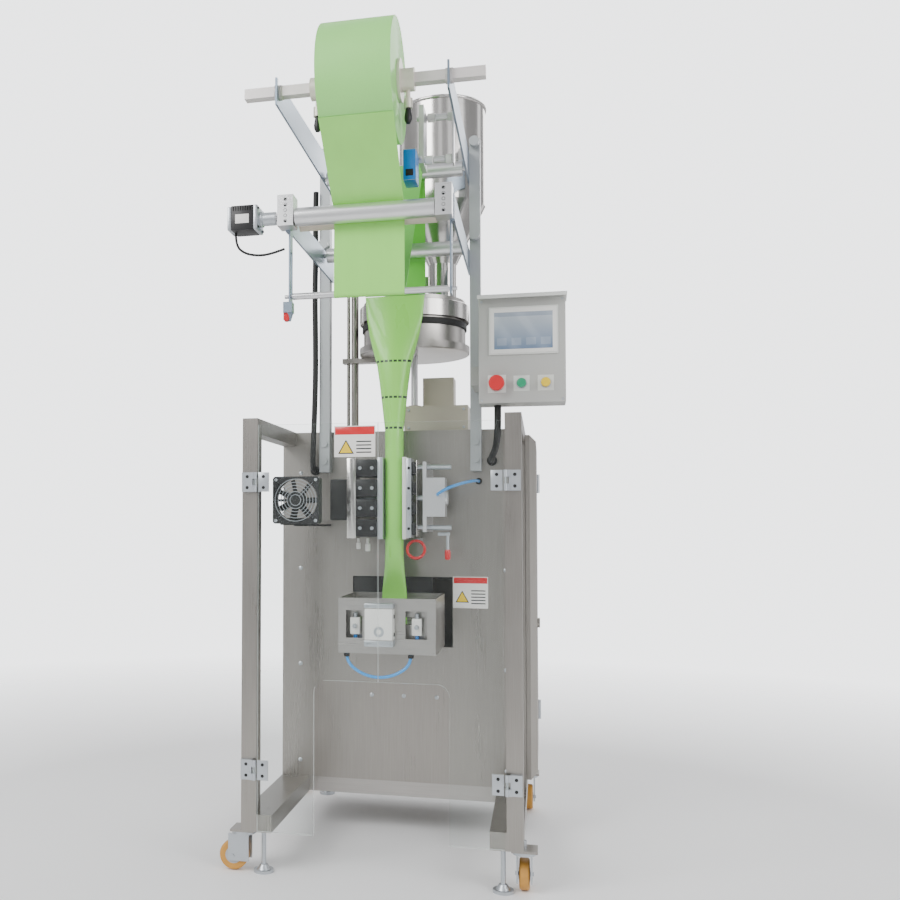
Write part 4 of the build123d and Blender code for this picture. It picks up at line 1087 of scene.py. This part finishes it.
@dataclass
class Running:
    """Swivel casters, as (x, y, heading in degrees) of each swivel."""

    spots: dict[str, tuple[float, float, float]] = field(default_factory=lambda: {
        "front_left": (-350.0, 40.0, 180.0), "front_right": (350.0, 40.0, 90.0),
        "rear_left": (-350.0, 840.0, 180.0), "rear_right": (350.0, 840.0, -90.0)})
    trail: float = 28.0  # from the swivel's axis to the axle

    def build(self) -> None:
        """Give each wheel an amber tyre around a hub, and each fork its zinc."""
        for name, (x, y, turn) in self.spots.items():
            a = math.radians(turn)
            hub = at(x + self.trail * math.cos(a), y + self.trail * math.sin(a), 39.5)
            dress("caster_wheel_" + name,
                  TyreAndHub("tyre_" + name, (0.62, 0.30, 0.05), hub=tuple(hub), radius=0.0245))
            dress("caster_fork_" + name, ZINC_CAST)


@dataclass
class Operator:
    """Operator box with touch screen, visor and push buttons."""

    low: Point = (240.0, 150.0, 1200.0)
    high: Point = (458.0, 240.0, 1474.0)
    buttons: float = 1250.0  # height of the push buttons

    def build(self) -> None:
        """Make the box with its visor, screen and collars."""
        maker = Maker("operator_box", "root")
        x0, y0, z0 = self.low
        x1, y1, z1 = self.high
        maker.block((x0, y0, z0), (x1, y1, z1), HMI_GREY, 3.0)
        maker.block((x0 - 2, y0 - 26, z1 + 0.2), (x1 + 4, y1, z1 + 3), BEZEL, 0.8)
        maker.block((x0 - 1.6, y0 - 26, z1 - 7), (x1 + 3.6, y0 - 23.5, z1 + 1.5), BEZEL, 0.6)
        maker.block((215, y1 - 1, z0 + 60), (x0 + 10, 390, z0 + 110), HMI_GREY, 1.0)
        maker.block((x0 + 26, y0 - 5.0, z1 - 150), (x1 - 18, y0 + 1, z1 - 26), BEZEL, 2.0)
        maker.block((x0 + 30, y0 - 6.0, z1 - 146), (x1 - 22, y0 - 4.2, z1 - 30), WHITE, 1.2)
        low, high = (x0 + 40, y0 - 6.5, z1 - 136), (x1 - 32, y0 - 5.6, z1 - 41)
        maker.block(low, high, ScreenGlow("touch_screen", (0.13, 0.19, 0.29), low=tuple(at(*low)),
                                          high=tuple(at(*high))), 0.3)
        for x, half in ((286.0, 23.0), (348.0, 20.0), (408.0, 20.0)):
            maker.block((x - half, y0 - 0.6, self.buttons - half),
                        (x + half, y0 + 0.5, self.buttons + half), BEZEL, 0.3)
        for x, radius, tone in ((286.0, 15.0, YELLOW), (348.0, 14.0, ZINC_CAST), (408.0, 14.0, ZINC_CAST)):
            maker.turned(Turn.Y, (x, y0, self.buttons),
                         [(9, -0.9), (radius - 1, -0.9), (radius, -0.7), (radius, 0.3), (9, 0.3), (9, -0.9)],
                         tone, 40)
        for x in (x0 + 8, x1 - 8):
            for z in (z0 + 8, z1 - 10):
                maker.turned(Turn.Y, (x, y0, z), [(0, -0.8), (2.6, -0.8), (3.2, -0.2), (3.2, 0.4), (0, 0.4)],
                             ZINC_CAST, 16)
        maker.done("brushed_stainless", "hmi_box")
        dress("emergency_stop", RED)
        dress("start_button", GREEN)
        dress("reset_button", YELLOW)


@dataclass
class Lines:
    """Conduits, cables and air hoses."""

    def build(self) -> None:
        """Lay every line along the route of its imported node."""
        hose("hmi_conduit", "root",
             [(286, 196, 1200), (286, 196, 1156), (283, 232, 1116), (274, 290, 1088), (260, 352, 1070),
              (260, 430, 1070)], 18.0, MATT_BLACK)
        hose("mast_conduit", "root",
             [(-252, 430, 1046), (-252, 402, 1046), (-250, 382, 1066), (-247, 376, 1120), (-244, 378, 1210),
              (-241, 378, 1320), (-242, 380, 1440), (-244, 380, 1560), (-242, 382, 1680), (-243, 380, 1780),
              (-241, 380, 1862)], 16.0, MATT_BLACK)
        hose("motor_cable", "root",
             [(-325, -151, 1597), (-325, -151, 1568), (-305, -147, 1548), (-271, -143, 1541),
              (-239, -135, 1546), (-210, -121, 1560)], 6.0, MATT_BLACK)
        hose("jaw_air_hose", "root",
             [(123, 254, 968), (123, 228, 968), (145, 220, 982), (175, 256, 996), (201, 308, 1006),
              (223, 370, 1012), (223, 430, 1012)], 8.0, HOSE_BLUE)
        hose("carriage_air_loop", "carriage",
             [(-102, 131.5, 552), (-102, 131.5, 528), (-64, 127, 500), (-20, 124, 490), (26, 125, 498),
              (66, 131.5, 526), (66, 131.5, 552)], 8.0, HOSE_BLUE)
        maker = Maker("line_glands", "root")
        square = ((0, 0), (1, 0), (1, 1), (0, 1), (0, 0))
        for (x, z), radius in (((260, 1070), 9.2), ((-252, 1046), 8.2), ((223, 1012), 4.3)):
            maker.turned(Turn.Y, (x, PANEL_Y, z), [(radius + r * 5, -9 + d * 9) for r, d in square],
                         MATT_BLACK, 32)
        maker.done("black_rubber")


@dataclass
class Studio:
    """Floor, backdrop, lights and camera."""

    eye: Point = (0.3759, -2.8031, 0.8828)

    def build(self) -> None:
        """Set up the studio."""
        part = bmesh.new()
        bmesh.ops.create_grid(part, x_segments=1, y_segments=1, size=60.0)
        mesh = bpy.data.meshes.new("studio_floor")
        part.to_mesh(mesh)
        part.free()
        floor = bpy.data.objects.new("studio_floor", mesh)
        dye = Dye("studio_floor")
        away = dye.node("VectorMath", {"operation": "LENGTH"}, {0: dye.place()}).outputs["Value"]
        solid = 1.55 - Shade(dye.tree, away) * 0.36  # the floor fades out with distance
        mesh.materials.append(dye.wear(Base_Color=(0.93, 0.93, 0.93), Roughness=0.7 + dye.noise(2.0) * 0.05,
                                       Alpha=solid))
        bpy.context.scene.collection.objects.link(floor)
        world = bpy.data.worlds.new("studio")
        bpy.context.scene.world = world
        world.use_nodes = True
        background = next(n for n in world.node_tree.nodes if n.type == "BACKGROUND")
        background.inputs[0].default_value = (0.97, 0.98, 1.0, 1.0)
        sky = Nodes(world.node_tree)
        seen = Shade(sky.tree, sky.node("LightPath", {}, {}).outputs["Is Camera Ray"])
        sight = sky.node("TexCoord", {}, {}).outputs["Generated"]
        split = sky.node("SeparateXYZ", {}, {0: sight})
        side, _, up = (Shade(sky.tree, split.outputs[i]) for i in range(3))
        strips = (side * 2.6 + up * 1.2) % 1.0
        sheen = ((strips > 0.30) * (strips < 0.62)) * 1.25 + 0.42
        sky.join(seen * 3.2 + (1 - seen) * sheen, background.inputs[1])
        for name, place, size, power in (("key", (-2.6, -3.4, 3.6), 2.4, 170.0),
                                         ("fill", (3.4, -2.6, 2.4), 2.2, 75.0),
                                         ("back", (0.6, 3.4, 3.4), 2.6, 80.0)):
            light = bpy.data.lights.new(name, "AREA")
            light.energy, light.size = power, size
            lamp = bpy.data.objects.new(name, light)
            lamp.location = place
            lamp.rotation_euler = (Vector((0, 0, 1.0)) - Vector(place)).to_track_quat("-Z", "Y").to_euler()
            bpy.context.scene.collection.objects.link(lamp)
        lens = bpy.data.cameras.new("camera")  # set with a slight roll
        lens.lens, lens.sensor_width, lens.shift_x, lens.shift_y = 41.2, 36.0, 0.1815, 0.040
        camera = bpy.data.objects.new("camera", lens)
        camera.location = self.eye
        towards = Vector((-0.2414, 0.9697, 0.0390))
        turned = towards.to_track_quat("-Z", "Y").to_matrix()
        camera.rotation_euler = (turned @ Matrix.Rotation(0.003, 3, "Z")).to_euler()
        bpy.context.scene.collection.objects.link(camera)
        bpy.context.scene.camera = camera


def main() -> None:
    """Build every sub-assembly in order."""
    logging.basicConfig(level=logging.INFO, format="%(name)s: %(message)s")
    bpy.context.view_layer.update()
    for part in (Cabinet(), Running(), Operator(), Dosing(), FilmFeed(), Film(), Sealers(),
                 FanUnit(), Lines(), Studio()):
        part.build()
        log.info("built %s", type(part).__name__)
    bpy.context.view_layer.update()


if __name__ == "__main__":
    main()
